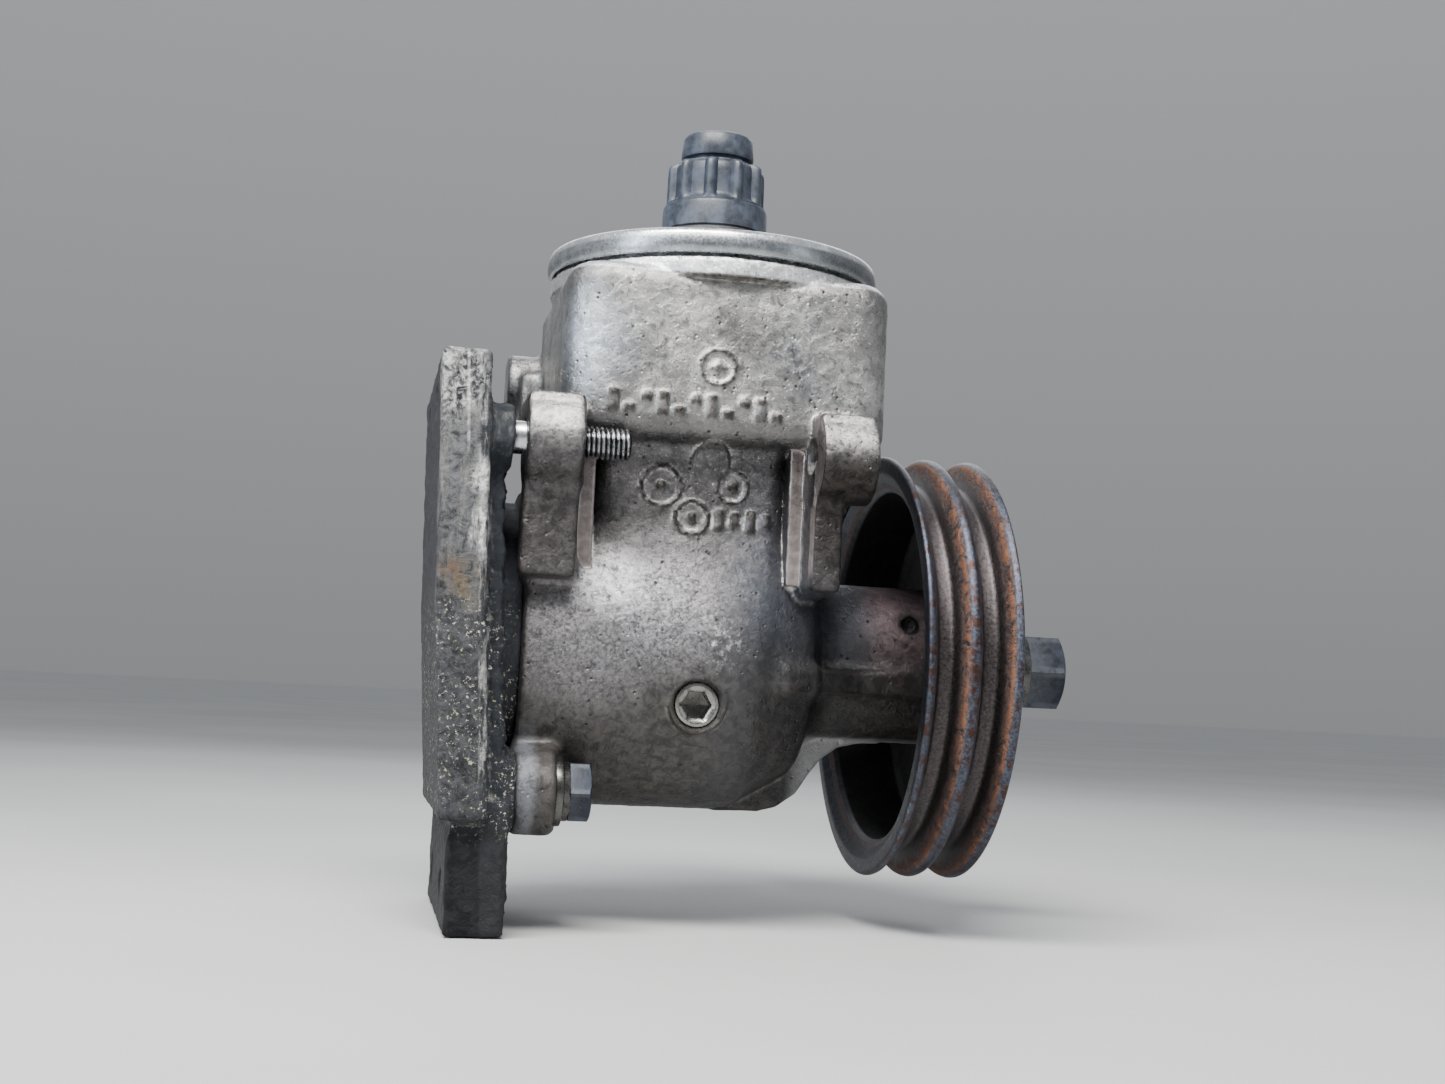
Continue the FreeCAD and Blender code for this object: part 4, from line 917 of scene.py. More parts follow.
def moulded_plastic():
    c = settings().colours
    f = Finish("worn dark moulded plastic")
    fine = f.grain(0.6, 4.0, 0.6)
    blotch = f.grain(5.0, 5.0, 0.7, shift=(2, 7, 1))
    scratch = f.curve(f.grain(1.2, 5.0, 0.8, stretch=(1, 1, 0.15)), 0.60, 0.70)
    tone = f.mottle(blotch, 0.35, 0.68, shade(c.plastic, 0.6), shade(c.plastic, 1.9))
    worn = f.times(f.edges(0.53, 0.62), f.curve(blotch, 0.35, 0.6, 0.3, 1.0))
    tone = f.blend(f.times(worn, 0.6), tone, (0.22, 0.25, 0.31))
    tone = f.blend(f.times(scratch, 0.25), tone, (0.16, 0.19, 0.24))
    rough = f.curve(f.plus(fine, blotch), 0.6, 1.4, 0.34, 0.60)
    relief = f.plus(fine, f.times(blotch, 0.6))
    return f.finish(tone, rough, 0.0, relief, 0.06, 0.6, specular=0.55)


def pulley_steel():
    c = settings().colours
    f = Finish("bare and rusty pulley steel")
    x = f.axis("X")
    parts = f.add("ShaderNodeSeparateXYZ")
    f.feed(parts.inputs[0], f.place)
    radius = f.maths("SQRT", f.plus(f.times(parts.outputs["Y"], parts.outputs["Y"]),
                                    f.times(parts.outputs["Z"], parts.outputs["Z"])))
    start = corners("pulley")[0][0] + RIM_LAND
    last = start + 2.0 * GROOVE_PITCH
    fine = f.grain(0.9, 6.0, 0.76)
    crust = f.grain(3.2, 7.0, 0.76, shift=(6, 1, 2), warp=0.8)
    blotch = f.grain(9.0, 6.0, 0.7, shift=(3, 4, 2))
    wide = f.grain(30.0, 4.0, 0.6, shift=(2, 9, 2))
    tone = f.mottle(crust, 0.35, 0.65, (0.016, 0.018, 0.023), (0.050, 0.054, 0.066))
    outside = f.curve(radius, 0.0588, 0.0596)
    span = f.times(f.curve(x, start * MM, (start + 0.5) * MM),
                   f.curve(x, last * MM, (last - 0.5) * MM))
    place = f.maths("FRACT", f.maths("DIVIDE", f.less(x, start * MM), GROOVE_PITCH * MM))
    below = f.curve(radius, 0.06965, 0.06885)
    within = f.times(f.times(span, outside), below)
    bed = f.mottle(fine, 0.35, 0.65, (0.040, 0.034, 0.035), (0.105, 0.092, 0.094))
    tone = f.blend(within, tone, bed)
    far = f.times(f.curve(place, 0.66, 0.76), within)
    near = f.times(f.curve(place, 0.30, 0.20), within)
    spread = f.curve(crust, 0.40, 0.58, 0.22, 0.95)
    rusty = f.times(f.plus(far, f.times(near, 0.45), True), spread)
    rusty = f.times(rusty, f.curve(wide, 0.22, 0.46, 0.55, 1.0))
    rust = f.mottle(crust, 0.36, 0.62, shade(c.rust, 0.40), shade(c.rust, 1.55))
    rust = f.mottle(fine, 0.56, 0.66, rust, (0.24, 0.080, 0.028))
    tone = f.blend(rusty, tone, rust)
    lip = f.times(f.curve(radius, 0.0666, 0.0682), f.times(far, f.curve(crust, 0.42, 0.54)))
    tone = f.blend(f.times(lip, 0.7), tone, (0.20, 0.085, 0.045))
    rims = f.curve(radius, 0.0684, 0.0694)
    steel = f.mottle(fine, 0.4, 0.6, shade(c.sheet_steel, 0.75), shade(c.sheet_steel, 1.7))
    tone = f.blend(f.times(rims, f.curve(blotch, 0.28, 0.46, 0.75, 1.0)), tone, steel)
    bitten = f.times(rims, f.curve(f.grain(4.0, 5.0, 0.8, shift=(8, 8, 1)), 0.48, 0.60))
    tone = f.blend(f.times(bitten, 0.85), tone, shade(c.rust, 0.8))
    glare = f.times(f.edges(0.52, 0.57), f.times(rims, f.curve(crust, 0.40, 0.54)))
    tone = f.blend(f.times(glare, 0.5), tone, (0.20, 0.225, 0.265))
    # painted shade inside the pulley's pressed dish
    inner = f.times(f.curve(radius, 0.0590, 0.0578), f.curve(x, 0.182, 0.178))
    tone = f.blend(inner, tone, f.mottle(crust, 0.4, 0.7, (0.007, 0.007, 0.008),
                                         (0.030, 0.027, 0.025)))
    rough = f.plus(f.curve(fine, 0.3, 0.7, 0.28, 0.46), f.times(rusty, 0.34), True)
    metal = f.less(0.92, f.times(f.larger(rusty, inner), 0.8), True)
    relief = f.plus(fine, f.times(f.times(crust, rusty), 2.2))
    return f.finish(tone, rough, metal, relief, 0.22, 0.9)


def dark_bolt_steel(name="blackened bolt steel"):
    c = settings().colours
    f = Finish(name)
    fine = f.grain(0.7, 5.0, 0.7)
    blotch = f.grain(4.0, 5.0, 0.7, shift=(3, 3, 1))
    tone = f.mottle(blotch, 0.35, 0.66, shade(c.bolt, 0.6), shade(c.bolt, 1.8))
    worn = f.times(f.edges(0.52, 0.60), f.curve(blotch, 0.3, 0.5, 0.4, 1.0))
    tone = f.blend(f.times(worn, 0.22), tone, (0.20, 0.215, 0.24))
    tone = f.blend(f.times(f.curve(f.grain(1.8, 4.0, 0.8, shift=(1, 6, 6)), 0.60, 0.70), 0.5),
                   tone, (0.13, 0.085, 0.055))
    rough = f.curve(f.plus(fine, blotch), 0.6, 1.4, 0.40, 0.66)
    return f.finish(tone, rough, 0.55, f.plus(fine, blotch), 0.10, 0.7, specular=0.35)


def ground_steel(name, base, rough_low, rough_high, lines, metal=1.0, depth=0.03):
    """Machined metal with tool marks across or along it."""
    f = Finish(name)
    marks = f.grain(0.5, 4.0, 0.7, stretch=lines)
    stain = f.grain(6.0, 5.0, 0.65, shift=(2, 2, 8))
    tone = f.mottle(stain, 0.35, 0.68, shade(base, 0.70), shade(base, 1.15))
    tone = f.blend(f.times(f.curve(marks, 0.45, 0.65), 0.3), tone, shade(base, 1.45))
    # painted shade: hollows and inside corners darkened
    tone = f.blend(f.times(f.edges(0.485, 0.42), 0.5), tone, shade(base, 0.25))
    rough = f.curve(f.plus(marks, stain), 0.6, 1.4, rough_low, rough_high)
    return f.finish(tone, rough, metal, marks, depth, 0.6)


def threaded_zinc(axis, radius):
    """Bright plating with painted shade in its thread valleys."""
    f = Finish("bright zinc thread")
    parts = f.add("ShaderNodeSeparateXYZ")
    f.feed(parts.inputs[0], f.place)
    y = f.less(parts.outputs["Y"], axis[1] * MM)
    z = f.less(parts.outputs["Z"], axis[2] * MM)
    away = f.maths("SQRT", f.plus(f.times(y, y), f.times(z, z)))
    # painted shade: the thread valleys darkened almost to black
    valley = f.curve(away, (radius - 0.22) * MM, (radius - 0.62) * MM)
    stain = f.grain(5.0, 5.0, 0.65, shift=(2, 2, 8))
    tone = f.mottle(stain, 0.35, 0.68, (0.42, 0.43, 0.44), (0.70, 0.72, 0.74))
    tone = f.blend(f.times(valley, 0.94), tone, (0.020, 0.018, 0.017))
    rough = f.curve(stain, 0.3, 0.7, 0.22, 0.38)
    return f.finish(tone, rough, 1.0, f.grain(0.5, 4.0, 0.7), 0.02, 0.5)


def soft_matter(name, base, size_mm, rough_low, rough_high, stretch=None, depth=0.08):
    """Rubber, paper and other dull materials."""
    f = Finish(name)
    fine = f.grain(size_mm, 5.0, 0.7, stretch=stretch)
    stain = f.grain(size_mm * 9.0, 4.0, 0.6, shift=(4, 2, 2))
    tone = f.mottle(stain, 0.34, 0.68, shade(base, 0.6), shade(base, 1.35))
    tone = f.blend(f.times(f.curve(fine, 0.5, 0.7), 0.35), tone, shade(base, 1.9))
    return f.finish(tone, f.curve(fine, 0.3, 0.7, rough_low, rough_high), 0.0, fine, depth, 0.7)


def floor_paint():
    f = Finish("pale studio floor")
    fine = f.grain(2.0, 4.0, 0.6)
    wide = f.grain(300.0, 3.0, 0.5)
    tone = f.mottle(wide, 0.3, 0.7, (0.45, 0.455, 0.45), (0.50, 0.50, 0.495))
    return f.finish(tone, f.curve(fine, 0.3, 0.7, 0.55, 0.68), 0.0, fine, 0.02, 0.3)


# ------------------------------------------------------------------ castings
def band_of(distance, half, soft=0.5):
    """A ridge profile: 1 on the line, 0 beyond its half width."""
    return np.clip((half - distance) / soft + 0.5, 0.0, 1.0)


def plain_marks(height):
    """Generic raised casting marks on the front: a ring, then a row of blocks and dots."""
    row_x, row_z, count = (47.7, 103.8), 75.0, 11
    ring_x, ring_z = 82.1, 87.2

    def form(x, y, z):
        ring = np.sqrt((x - ring_x) ** 2 + (z - ring_z) ** 2)
        diamond = (np.abs(x - ring_x) + np.abs(z - ring_z)) * 0.7 - 1.9
        flat = np.maximum(band_of(np.abs(ring - 5.4), 0.7), band_of(diamond, 0.1))
        step = (row_x[1] - row_x[0]) / count
        for k in range(count):
            u, v = np.abs(x - row_x[0] - step * (k + 0.5)), z - row_z
            if k % 3 == 1:
                block = np.maximum(u - 1.5, np.abs(v + 2.0) - 1.5)
            elif k % 3 == 2:
                block = np.sqrt(u ** 2 + (v - 1.7) ** 2) - 1.8
            else:
                block = np.maximum(u - 1.5, np.abs(v) - 3.5)
            flat = np.maximum(flat, band_of(block, 0.1))
        return flat * height

    return form, (44.0, -56.0, 66.0), (108.0, -44.0, 96.0)


def waist_marks(height):
    """Small raised rings, dots and blocks on the waist below the reservoir."""
    rings = ((67.8, 50.8, 6.2), (90.1, 51.8, 5.0), (77.7, 41.5, 5.2))

    def form(x, y, z):
        flat = 0.0
        for cx, cz, r in rings:
            ring = np.sqrt((x - cx) ** 2 + (z - cz) ** 2)
            flat = np.maximum(flat, band_of(np.abs(ring - r), 0.42))
        pad = np.sqrt((x - 83.1) ** 2 + (z - 59.1) ** 2)
        flat = np.maximum(flat, 0.9 * band_of(pad, 6.0, 1.2))
        for cx, cz, r in rings:
            flat = np.maximum(flat, band_of(np.sqrt((x - cx) ** 2 + (z - cz) ** 2) - 1.5, 0.1))
        for k in range(4):
            block = np.maximum(np.abs(x - (86.6 + 4.9 * k)) - 1.2,
                               np.abs(z - 41.5) - 3.3 + 1.2 * (k % 2))
            flat = np.maximum(flat, band_of(block, 0.1))
        return flat * height

    return form, (58.0, -48.0, 34.0), (106.0, -34.0, 66.5)


def shape_housing():
    """The casting as joined and cut forms: outside field, clay and skin."""
    s = settings().casting
    plug, stud = middle("valve_plug"), middle("pivot_stud")
    lid = (LID_LOW + LID_HIGH) / 2.0
    boss_y, boss_z = bolt_place()
    seat = corners("mounting_bracket")[1][0]
    clip = corners("bearing_circlip")
    bearing = corners("bearing_outer_ring")
    seal = corners("shaft_seal")
    port = corners("front_port_plate")
    snout_end = clip[1][0] + 1.25
    body_end = seat + 75.0
    nose_end, snout_at = body_end + 17.0, body_end + 25.0
    body, snout = s.body_radius / MM, s.snout_radius / MM
    clay = Clay((20.0, -70.0, -62.0), (182.0, 65.0, 128.0), s.cell / MM)
    soft = s.fillet / MM
    clay.join(*spindle([
        (seat, body), (body_end - 7.0, body), (body_end - 3.0, body - 0.6),
        (body_end, body - 1.9), (body_end + 2.5, body - 3.6), (nose_end - 1.0, 38.6),
        (nose_end + 0.6, 37.2), (nose_end + 1.8, 34.6), (nose_end + 3.2, 31.2),
        (nose_end + 5.2, 28.0), (snout_at, snout + 0.6), (snout_at + 3.0, snout),
        (snout_end, snout)], 1.2))
    tank_low, tank_high = (35.5, -50.0, 65.0), (138.5, 50.0, 119.0)
    clay.join(*slab((48.0, -40.0, 8.0), (108.0, 40.0, 78.0), 7.0), soft=soft * 1.4)
    clay.join(*slab((body_end - 4.0, -26.0, 56.0), (136.0, 26.0, 74.0), 5.0), soft=6.0)
    clay.join(*tub(tank_low, tank_high, s.tank_corner / MM, s.tank_round / MM), soft=soft)
    neck = LID_HIGH[0] - lid[0] - 1.5
    clay.join(*disc(2, (lid[0], 0, 0), neck, 115.2, LID_LOW[2] - 0.9, 0.3))
    clay.join(*disc(2, (lid[0], 0, 0), neck - 1.6, 117.0, LID_LOW[2], 0.3))
    clay.join(*disc(2, (lid[0], 0, 0), neck - 2.0, 117.0, corners("lid_seal")[0][2], 0.3))
    for start, end, web, web_end in ((24.0, 41.0, seat, 41.0), (113.0, 131.0, 113.0, 122.5)):
        clay.join(*slab((web, -44.0, 20.0), (web_end, -24.0, 73.0), 2.0), soft=5.0)
        clay.join(*disc(0, (0, stud[1], stud[2]), 13.6, start, end, 1.3), soft=1.0)
        clay.join(*slab((web, stud[1] - 4.0, 20.0), (web_end, -30.0, stud[2]), 1.6), soft=4.0)
        clay.join(*slab((start, stud[1] - 8.0, stud[2]), (end, -30.0, stud[2] + 13.6), 1.4),
                  soft=1.0)
    clay.join(*slab((24.0, stud[1] - 4.0, 20.0), (30.0, -47.5, stud[2]), 1.4), soft=1.0)
    for start, end in ((38.0, 47.0), (107.6, 116.0)):
        clay.join(*slab((start, -44.0, 22.0), (end, -26.0, 82.0 if start > 60.0 else 75.0), 0.3))
    rib_at = (body_end - 4.0, body_end + 8.0, nose_end + 3.0, snout_at + 10.0, snout_end - 16.0)
    rib_out = (body - 8.0, body - 4.5, 38.0, snout + 4.0, snout - 1.5)
    for side in (-1.0, 1.0):
        y = boss_y * side
        clay.join(*disc(0, (0, y, boss_z), 12.5, seat, seat + 12.0, 1.4), soft=3.0)
        reach = sorted((y, y * 0.55))
        clay.join(*slab((seat, reach[0], boss_z - 12.0), (seat + 12.0, reach[1], boss_z + 12.5),
                        2.0), soft=5.0)
        clay.join(*fin(rib_at, rib_out, 3.6, -7.0, side), soft=5.0)
    clay.join(*keel((body_end - 4.0, body_end + 40.0), (72.0, 72.0), 9.0,
                    lambda x: np.interp(x, (98.0, 124.0, 141.0), (20.0, 18.0, 62.0))), soft=5.0)
    belly_at = (96.0, 111.0, 116.5, 123.0, 127.0, 131.0, 137.0, 146.0, 151.0)
    belly_z = (-50.2, -50.1, -48.6, -44.0, -38.0, -32.6, -28.2, -26.1, -26.0)
    clay.join(*keel((body_end - 6.0, snout_at + 24.0), (-20.0, -20.0), 6.0,
                    lambda x: np.interp(x, belly_at, belly_z)), soft=1.5)
    clay.join(*disc(1, (plug[0], 0, plug[2]), 9.0, -48.6, -30.0, 0.8), soft=1.2)
    clay.join(*disc(1, (plug[0], 0, plug[2]), 15.0, 30.0, 60.0, 1.2), soft=5.0)
    pipe = middle("return_nipple")
    clay.join(*disc(1, (pipe[0], 0, pipe[2]), 11.0, 46.0, 55.0, 1.0), soft=3.0)
    clay.join(*disc(0, (0, 40.0, 92.0), 10.0, 24.0, 40.0, 1.6), soft=3.0)
    clay.join(*slab((28.0, 24.0, 72.0), (40.0, 44.0, 94.0), 2.0), soft=4.0)
    mark = s.mark_height / MM
    for form, low, high in (plain_marks(mark), waist_marks(mark)):
        clay.raise_marks(form, low, high)
    outer = clay.field.copy()

    chamber = port[1][1] + 0.15
    clay.cut(*disc(0, (0, 0, 0), chamber, seat - 12.0, port[1][0], 0.1))
    clay.cut(*disc(0, (0, 0, 0), 8.45, port[1][0] - 2.0, seal[0][0] + 1.0, 0.1))
    clay.cut(*disc(0, (0, 0, 0), 10.8, seal[0][0] - 22.0, seal[0][0] + 1.0, 0.1))
    clay.cut(*disc(0, (0, 0, 0), seal[1][1], seal[0][0], seal[1][0] + 1.0, 0.1))
    clay.cut(*disc(0, (0, 0, 0), seal[1][1] + 1.0, seal[1][0], bearing[0][0] + 1.0, 0.1))
    clay.cut(*disc(0, (0, 0, 0), bearing[1][1], bearing[0][0], snout_end + 6.0, 0.1))
    wall = 6
    clay.cut(*tub([tank_low[0] + wall, tank_low[1] + wall, 76.0],
                  [tank_high[0] - wall, tank_high[1] - wall, 113.0],
                  s.tank_corner / MM - 5.0, 4.0))
    clay.cut(*disc(2, (lid[0], 0, 0), neck - 7.0, 105.0, 140.0, 0.1))
    clay.cut(*disc(2, (60.0, 0, 0), 6.0, 30.0, 80.0, 0.2))
    clay.cut(*disc(1, (plug[0], 0, plug[2]), 6.2, -36.0, 30.0, 0.1))
    clay.cut(*disc(1, (plug[0], 0, plug[2]), 7.0, -47.0, -34.0, 0.1))
    clay.cut(*disc(1, (plug[0], 0, plug[2]), 7.7, -62.0, corners("valve_plug")[0][1], 0.2))
    clay.cut(*disc(1, (plug[0], 0, plug[2]), 8.0, 44.0, 74.0, 0.1))
    clay.cut(*disc(0, (0, stud[1], stud[2]), 5.4, 20.0, 136.0, 0.1))
    for side in (-1.0, 1.0):
        clay.cut(*disc(0, (0, boss_y * side, boss_z), 5.3, seat - 2.0, seat + 14.0, 0.1))
    clay.cut(*disc(2, (lid[0], 0, 0), 5.0, 60.0, 80.0, 0.1))
    clay.cut(*disc(1, (155.2, 0, 12.8), 2.7, -34.0, -19.0, 0.1))
    clay.cut(*disc(1, (pipe[0], 0, pipe[2]), 7.0, 40.0, 60.0, 0.1))
    points, quads = clay.skin()
    return clay, outer, points, quads


def roughen(mesh, amount_mm, size_mm, keep):
    """Push points in and out along their normals for an uneven cast skin."""
    count = len(mesh.vertices)
    normals = np.zeros(count * 3, np.float32)
    mesh.vertex_normals.foreach_get("vector", normals)
    normals = normals.reshape(-1, 3)
    co = np.zeros(count * 3, np.float32)
    mesh.vertices.foreach_get("co", co)
    co = co.reshape(-1, 3)
    shift = np.zeros(count)
    scaled = co / (size_mm * MM)
    for k in np.nonzero(keep)[0]:
        p = Vector(scaled[k])
        shift[k] = noise.noise(p) + 0.5 * noise.noise(p * 2.3) + 0.3 * noise.noise(p * 4.9)
    co += normals * (shift * amount_mm * MM)[:, None]
    mesh.vertices.foreach_set("co", co.astype(np.float32).ravel())
    mesh.update()


class PUMP_OT_housing(Operator):
    """Build the cast housing with its reservoir, ears, ribs and plain marks"""
    bl_idname = "pump.housing"
    bl_label = "Cast housing"

    def execute(self, context):
        s = settings().casting
        clay, outer, points, quads = shape_housing()
        mesh = quads_to_mesh("casting", points, quads)
        skin = np.abs(clay.sample(points, outer)) < 1.3 * s.cell / MM
        roughen(mesh, s.grain / MM, 5.0, skin)
        thing = piece("casting", mesh)
        thin(thing, 190000)
        smooth(thing.data, 50.0)
        settle(thing, cast_aluminium(), "cast_aluminium", "pump_body", "housing")
        return {"FINISHED"}


class PUMP_OT_bracket(Operator):
    """Build the thick bracket with its stepped foot, pads and rough inner layer"""
    bl_idname = "pump.bracket"
    bl_label = "Mounting bracket"

    def execute(self, context):
        s = settings().casting
        low, high = corners("mounting_bracket")
        stud = middle("pivot_stud")
        boss_y, boss_z = bolt_place()
        clay = Clay(low - 7.0, high + 5.0, s.plate_cell / MM)
        front, back, top, bottom = low[1], high[1], high[2], low[2]

        def leaning(form):
            """The plate leans a little along its height."""
            def lean(x, y, z):
                return form(x - np.interp(z, (-49.0, 11.0, top), (4.2, 0.0, -2.2)), y, z)
            return lean

        plate, plate_low, plate_high = slab((0.0, front, -53.0), (14.6, back, top), 1.6)
        clay.join(leaning(plate), [plate_low[0] - 4, *plate_low[1:]],
                  [plate_high[0] + 6, *plate_high[1:]])
        rim, rim_low, rim_high = slab((1.0, front + 9.0, -53.5), (20.0, back - 3.0, 66.0), 2.0)
        clay.join(leaning(rim), [rim_low[0] - 4, *rim_low[1:]], [rim_high[0] + 6, *rim_high[1:]],
                  soft=1.0)
        clay.join(*slab((7.7, front + 4.0, bottom), (25.2, back - 10.0, -47.0), 1.3), soft=0.6)
        clay.join(*slab((7.2, front + 3.5, bottom + 9.0), (11.0, front + 16.0, -57.0), 1.5),
                  soft=0.8)
        clay.join(*disc(0, (0, 0, 0), 46.0, 12.0, high[0], 1.0), soft=4.0)
        for side in (-1.0, 1.0):
            clay.join(*disc(0, (0, boss_y * side, boss_z), 12.5, 12.0, high[0], 1.0), soft=3.0)
        clay.join(*disc(0, (0, stud[1], stud[2]), 9.5, 10.0, 20.4, 1.0), soft=3.0)
        notch = disc(1, (6.0, 0, -54.5), 2.2, front - 4.0, back + 4.0, 0.2)
        clay.cut(*notch, soft=0.8)
        for y in (-28.0, 28.0):
            for z in (-74.0, 74.0):
                clay.cut(*disc(0, (0, y, z), 5.3, -6.0, 36.0, 0.2))
        clay.cut(*disc(0, (0, 0, 0), 38.0, 21.0, 34.0, 0.2))
        points, quads = clay.skin()
        mesh = quads_to_mesh("bracket_casting", points, quads)
        inner = (points[:, 0] > 9.0) & (points[:, 0] < 26.3)
        edge_on = points[:, 1] < front + 9.0
        roughen(mesh, 0.32, 6.0, np.abs(points[:, 0] - high[0]) > 0.8)
        roughen(mesh, 1.2, 4.5, inner & ~edge_on & (np.hypot(points[:, 1], points[:, 2]) > 50.0))
        thing = piece("bracket_casting", mesh)
        thin(thing, 150000)
        smooth(thing.data, 55.0)
        settle(thing, greasy_iron(), "dark_iron", "pump_body", "mounting_bracket")
        return {"FINISHED"}


# ------------------------------------------------------------------ lid and lid nut
class PUMP_OT_lid(Operator):
    """Build the pressed lid with its rolled edge and raised middle"""
    bl_idname = "pump.lid"
    bl_label = "Reservoir lid"

    def execute(self, context):
        t = settings().turned
        low = LID_LOW
        cx, rad = middle_and_radius("reservoir_lid")
        top = corners("nut_seal")[0][2]
        rim = top - 7.0
        bead = t.bead / MM
        rows = [(low[2] + 0.4, rad - 2.2), (low[2], rad - 1.6), (low[2] + 0.3, rad - 0.8),
                (low[2] + 1.4, rad - 0.15), (low[2] + 3.2, rad), (low[2] + 4.6, rad - 0.25)]
        for k in range(9):
            a = math.radians(10.0 + 100.0 * k / 8.0)
            rows.append((rim - bead + bead * math.sin(a), rad - 0.4 - bead + bead * math.cos(a)))
        rows += [(rim - 0.5, rad - 3.6), (rim - 1.2, rad - 5.0), (rim - 0.7, rad - 7.0),
                 (rim - 0.2, rad - 9.0), (rim + 0.8, rad - 13.0), (top - 2.2, 31.0),
                 (top - 0.6, 26.0), (top, 23.0), (top, 5.6), (top - 2.2, 5.6), (top - 2.2, 22.6),
                 (top - 4.0, 30.0), (rim - 2.2, rad - 12.0), (rim - 3.0, rad - 8.0),
                 (rim - 2.4, rad - 2.4), (rim - 3.4, rad - 2.2)]
        zinc = plated_steel("worn zinc-plated sheet", settings().colours.zinc, (0.66, 0.68, 0.70),
                            gleam=(rim - 3.4, rim - 2.2, cx))
        thing = turned_piece("pressed_lid", rows, t.steps, 1, "Z", (cx, 0, 0), zinc, True, 32.0)
        settle(thing, zinc, "lid_steel", "lid", "reservoir_lid")
        return {"FINISHED"}


class PUMP_OT_lid_nut(Operator):
    """Build the ribbed nut that holds the lid, and the band under it"""
    bl_idname = "pump.lid_nut"
    bl_label = "Lid nut"

    def execute(self, context):
        t = settings().turned
        low, high = corners("lid_nut")
        cx, rad = middle_and_radius("lid_nut")
        collar, grip, tip = low[2] + 9.5, low[2] + 23.8, high[2]
        count = t.flutes
        depth = t.flute_depth / MM

        def fluted(outer, share):
            def radius(a):
                phase = (a * count / (2.0 * math.pi)) % 1.0
                away = abs(phase - 0.5) * 2.0
                rise = max(0.0, 1.0 - (away / 0.42) ** 2) ** 0.5
                return outer - depth * share * (1.0 - rise)
            return radius

        rows = [(low[2], 5.1), (low[2], rad - 0.8), (low[2] + 0.7, rad), (collar - 1.6, rad),
                (collar - 0.6, rad - 0.35), (collar - 0.1, rad - 1.0)]
        body = rad - 1.0
        for z, share, inset in ((0.4, 0.0, 0.0), (0.9, 0.45, 0.0), (1.8, 0.85, 0.0),
                                (3.0, 1.0, 0.0), (6.0, 1.0, 0.05), (10.0, 1.0, 0.1),
                                (12.6, 1.0, 0.2), (13.4, 1.0, 0.6), (14.0, 0.95, 1.3),
                                (14.25, 0.8, 2.4)):
            rows.append((collar + z, fluted(body - inset, share)))
        rows += [(grip + 0.6, 12.0), (grip + 0.7, 10.6), (grip + 1.9, 10.5), (grip + 2.1, 11.9),
                 (grip + 2.9, 12.2), (tip - 1.9, 11.9), (tip - 0.7, 11.2), (tip, 9.6), (tip, 6.4),
                 (tip - 1.4, 6.0), (tip - 1.4, 0.001)]
        inner = corners("lid_stud")[1][2] + 2.0
        rows = [(inner, 0.001), (inner, 5.1)] + rows
        plastic = moulded_plastic()
        thing = turned_piece("fluted_nut", rows, count, 20, "Z", (cx, 0, 0), plastic, False, 30.0)
        settle(thing, plastic, "black_nut", "nut", "lid_nut")

        low, high = corners("nut_seal")
        rad = middle_and_radius("nut_seal")[1]
        rubber = soft_matter("aged black rubber", (0.022, 0.022, 0.024), 0.7, 0.45, 0.7)
        rows = rounded([(low[2], 5.5), (low[2], rad), (high[2], rad - 0.6), (high[2], 5.5)], 0.8,
                       True)
        band = turned_piece("nut_band", rows, t.steps, 1, "Z", (cx, 0, 0), rubber, True, 40.0)
        settle(band, rubber, "black_rubber", "nut_carrier", "nut_seal")
        return {"FINISHED"}


# ------------------------------------------------------------------ pulley
class PUMP_OT_pulley(Operator):
    """Build the dished two-groove pulley"""
    bl_idname = "pump.pulley"
    bl_label = "Belt pulley"

    def execute(self, context):
        t = settings().turned
        low, high = corners("pulley")
        rad, face = (high[1] - low[1]) / 2.0, high[0]
        start, land, pitch, deep = low[0], RIM_LAND, GROOVE_PITCH, rad - 9.5
        flank = (pitch - land - 5.0) / 2.0
        sheet = t.sheet / MM
        end = start + land + pitch * 2.0
        bore = deep - sheet
        rows = [(start, rad - 1.2), (start + 0.35, rad - 0.3), (start + land - 0.8, rad)]
        for k in range(2):
            at = start + land + pitch * k
            rows += [(at + 0.2, rad - 0.25), (at + 1.2, rad - 1.5), (at + flank - 0.3, deep + 1.0),
                     (at + flank + 0.6, deep + 0.1), (at + flank + 2.5, deep),
                     (at + flank + 4.4, deep + 0.1), (at + flank + 5.3, deep + 1.0),
                     (at + 2.0 * flank + 3.6, rad - 1.7), (at + 2.0 * flank + 4.7, rad - 0.4),
                     (at + 2.0 * flank + 5.9, rad)]
        rows += [(end - 0.3, rad - 0.05), (end, rad - 0.8), (end, rad - 5.0),
                 (end - 2.0, deep + 0.6), (end - 0.5, bore - 1.0), (end + 15.2, 22.0),
                 (end + 16.6, 19.5), (face - 0.4, 17.2), (face, 16.2), (face, 9.0), (175.0, 9.0),
                 (175.0, 13.5), (face - 12.0, 13.5), (face - 10.0, 17.0), (end + 13.1, 19.0),
                 (end - 4.2, bore - 2.0), (end - 6.0, bore), (start + 4.6, bore),
                 (start + 3.0, bore + 1.4), (start + 0.2, rad - 5.6), (start, rad - 4.6)]
        steel = pulley_steel()
        thing = turned_piece("grooved_pulley", rounded(rows, 0.5, True, 2), t.steps, 1, "X",
                             (0, 0, 0), steel, True, 40.0)
        settle(thing, steel, "belt_pulley", "shaft", "pulley")
        return {"FINISHED"}


